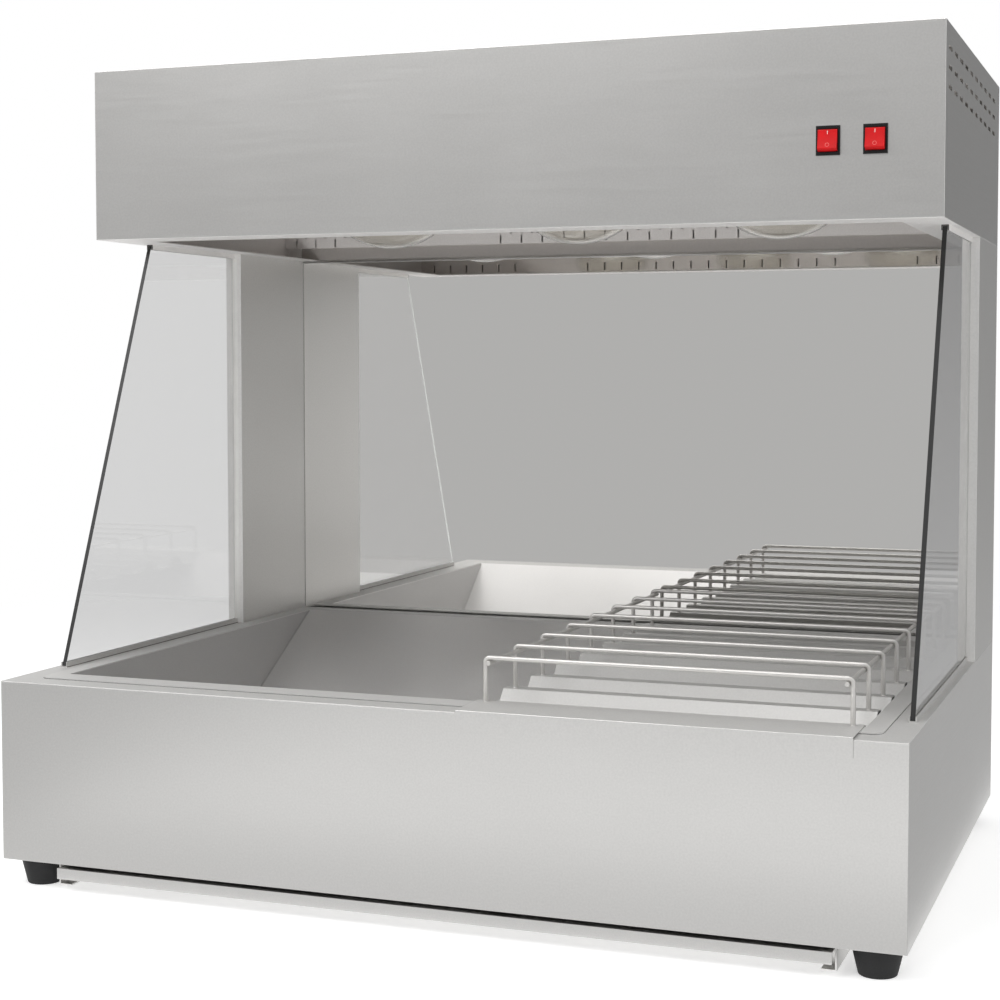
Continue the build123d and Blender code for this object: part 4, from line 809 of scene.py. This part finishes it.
scene = bpy.context.scene
scene.world = bpy.data.worlds.new("studio")
scene.world.use_nodes = True
sky = scene.world.node_tree
sky.nodes.clear()
level = add(sky, "MapRange", {"Value": see_white(sky), "To Min": WORLD_FILL, "To Max": 1.0})
backdrop = add(sky, "Background", {"Color": linear(WHITE), "Strength": level.outputs[0]})
add(sky, "OutputWorld", {0: backdrop.outputs[0]})


def flat_card(name, corners, material):
    """A four-cornered plane on the stage, in metres."""
    mesh = bpy.data.meshes.new(name)
    mesh.from_pydata(corners, [], [(0, 1, 2, 3)])
    mesh.materials.append(material)
    card = bpy.data.objects.new(name, mesh)
    scene.collection.objects.link(card)
    return card


def studio_floor():
    """Matt white paint that keeps the shadow near the object and fades into the backdrop further out. From
    below it is clear, so that the object's underside can be looked at."""
    material, tree, place = start_material("matt white studio floor")
    seen = see_white(tree)
    skin = add(tree, "BsdfDiffuse", {"Color": linear("#e9e9e9")})
    lift = add(tree, "MapRange", {"Value": seen, "To Min": 0.0, "To Max": FLOOR_LIFT})
    glow = add(tree, "Emission", {"Color": linear(WHITE), "Strength": lift.outputs[0]})
    near = add(tree, "AddShader", {0: skin.outputs[0], 1: glow.outputs[0]})
    far_level = add(tree, "MapRange", {"Value": seen, "To Min": WORLD_FILL, "To Max": 1.0})
    far = add(tree, "Emission", {"Color": linear(WHITE), "Strength": far_level.outputs[0]})
    reach = add(tree, "VectorMath", {0: place}, operation="LENGTH").outputs["Value"]
    ends = {"Value": reach, "From Min": FLOOR_FADE[0], "From Max": FLOOR_FADE[1]}
    fade = add(tree, "MapRange", ends, interpolation_type="SMOOTHSTEP")
    zones = {0: fade.outputs[0], 1: near.outputs[0], 2: far.outputs[0]}
    above = add(tree, "MixShader", zones)
    below = add(tree, "BsdfTransparent")
    under = add(tree, "NewGeometry").outputs["Backfacing"]
    sides = {0: under, 1: above.outputs[0], 2: below.outputs[0]}
    return finish_material(material, add(tree, "MixShader", sides))


floor_corners = [(u * FLOOR_HALF, v * FLOOR_HALF, 0) for u, v in ((-1, -1), (1, -1), (1, 1), (-1, 1))]
flat_card("floor", floor_corners, studio_floor())


def grey_card(name, corners, grey, fade=None):
    """A self-lit grey card, as a flag is in a studio: only gloss shows it, directly or behind glass. A fade
    gives two heights in metres and the grey that it has turned to at the upper one."""
    material, tree, place = start_material(name)
    path = add(tree, "LightPath").outputs
    bounced = add(tree, "Math", {0: path["Glossy Depth"], 1: 0.5}, operation="GREATER_THAN")
    ends = {"To Min": grey, "To Max": grey * GLASS_GAIN}
    level = add(tree, "MapRange", {"Value": path["Is Transmission Ray"], **ends})
    if fade:
        height = add(tree, "SeparateXYZ", {0: place})
        ends = {"From Min": fade[0], "From Max": fade[1], "To Min": 1.0, "To Max": fade[2] / grey}
        fall = add(tree, "MapRange", {"Value": height.outputs[2], **ends})
        both = {0: level.outputs[0], 1: fall.outputs[0]}
        level = add(tree, "Math", both, operation="MULTIPLY")
    light = add(tree, "Emission", {"Color": linear(WHITE), "Strength": level.outputs[0]})
    clear = add(tree, "BsdfTransparent")
    mixed = add(tree, "MixShader", {0: bounced.outputs[0], 1: clear.outputs[0], 2: light.outputs[0]})
    card = flat_card(name, corners, finish_material(material, mixed))
    card.visible_camera = card.visible_diffuse = card.visible_shadow = False


def standing(x_low, x_high, y, z_low, z_high):
    """Corners of an upright card across X."""
    return [(x_low, y, z_low), (x_high, y, z_low), (x_high, y, z_high), (x_low, y, z_high)]


def lying(x_low, x_high, y_low, y_high):
    """Corners of a card that lies just over the floor."""
    edges = ((x_low, y_low), (x_high, y_low), (x_high, y_high), (x_low, y_high))
    return [(x, y, OVER_FLOOR) for x, y in edges]


FAR_LEFT, FAR_RIGHT, FAR_FRONT, FAR_BACK = -7.0, 5.0, -4.2, 3.2
FRONT_SPLIT, FRONT_TOP, RIGHT_TOP = 0.98, 2.3, 5.0
NEAR_FRONT, EDGE_FRONT, EDGE_BACK, LEFT_BACK = -1.9, -0.62, -0.36, -0.2
NEAR_LEFT, NEAR_RIGHT, LEFT_END, BESIDE, BEHIND, BEHIND_END = -0.65, 1.2, -4.0, 0.53, 0.55, 7.0
grey_card("card_front_low", standing(FAR_LEFT, FAR_RIGHT, FAR_FRONT, OVER_FLOOR, FRONT_SPLIT), 0.5)
grey_card("card_front_high", standing(FAR_LEFT, FAR_RIGHT, FAR_FRONT, FRONT_SPLIT, FRONT_TOP), 0.42)
grey_card("card_front_floor", lying(FAR_LEFT, FAR_RIGHT, FAR_FRONT, NEAR_FRONT), 0.5)
grey_card("card_left_floor", lying(LEFT_END, NEAR_LEFT, NEAR_FRONT, LEFT_BACK), 0.7)
grey_card("card_near_floor", lying(NEAR_LEFT, NEAR_RIGHT, NEAR_FRONT, EDGE_FRONT), 1.15)
grey_card("card_edge_floor", lying(NEAR_LEFT, NEAR_RIGHT, EDGE_FRONT, EDGE_BACK), 0.8)
grey_card("card_right_floor", lying(BESIDE, FAR_RIGHT, EDGE_BACK, FAR_BACK), 0.52)
behind_right = standing(BEHIND, BEHIND_END, FAR_BACK, OVER_FLOOR, RIGHT_TOP)
grey_card("card_right", behind_right, 0.39, fade=(0.0, 1.0, 0.255))


def soft_lamp(name, place, target, size, watts, in_gloss):
    """A square area lamp that looks at a point, with or without its own image in gloss and glass."""
    light = bpy.data.lights.new(name, "AREA")
    light.size = size
    light.energy = watts
    lamp = bpy.data.objects.new(name, light)
    scene.collection.objects.link(lamp)
    lamp.visible_camera = False
    lamp.visible_glossy = lamp.visible_transmission = in_gloss
    lamp.location = place
    back = np.array(place) - np.array(target)
    back = back / np.linalg.norm(back)
    lamp.rotation_euler = (math.acos(back[2]), 0, math.atan2(back[0], -back[1]))


soft_lamp("key", (-1.8, -2.6, 3.4), (0, 0, 0.4), size=2.4, watts=60, in_gloss=True)
soft_lamp("fill", (2.6, -2.0, 2.6), (0, 0, 0.4), size=2.0, watts=16, in_gloss=False)
soft_lamp("top", (0.0, -0.1, 3.6), (0, -0.1, 0.9), size=0.8, watts=15, in_gloss=True)
soft_lamp("low", (0.1, -1.5, 0.12), (0, 0.3, 0.78), size=0.2, watts=7, in_gloss=False)

CAMERA_AT, CAMERA_DIP, CAMERA_TURN = (0.75641, -2.08437, 0.57909), 2.861, 20.279
camera_data = bpy.data.cameras.new("photo_camera")
camera_data.sensor_width = 36.0
camera_data.lens = 67.275
camera_data.shift_x = -0.02018
camera_data.shift_y = -0.04037
camera_data.dof.use_dof = False
camera = bpy.data.objects.new("photo_camera", camera_data)
scene.collection.objects.link(camera)
camera.location = CAMERA_AT
camera.rotation_euler = (math.radians(90 - CAMERA_DIP), 0, math.radians(CAMERA_TURN))
scene.camera = camera
scene.view_settings.view_transform = "Standard"
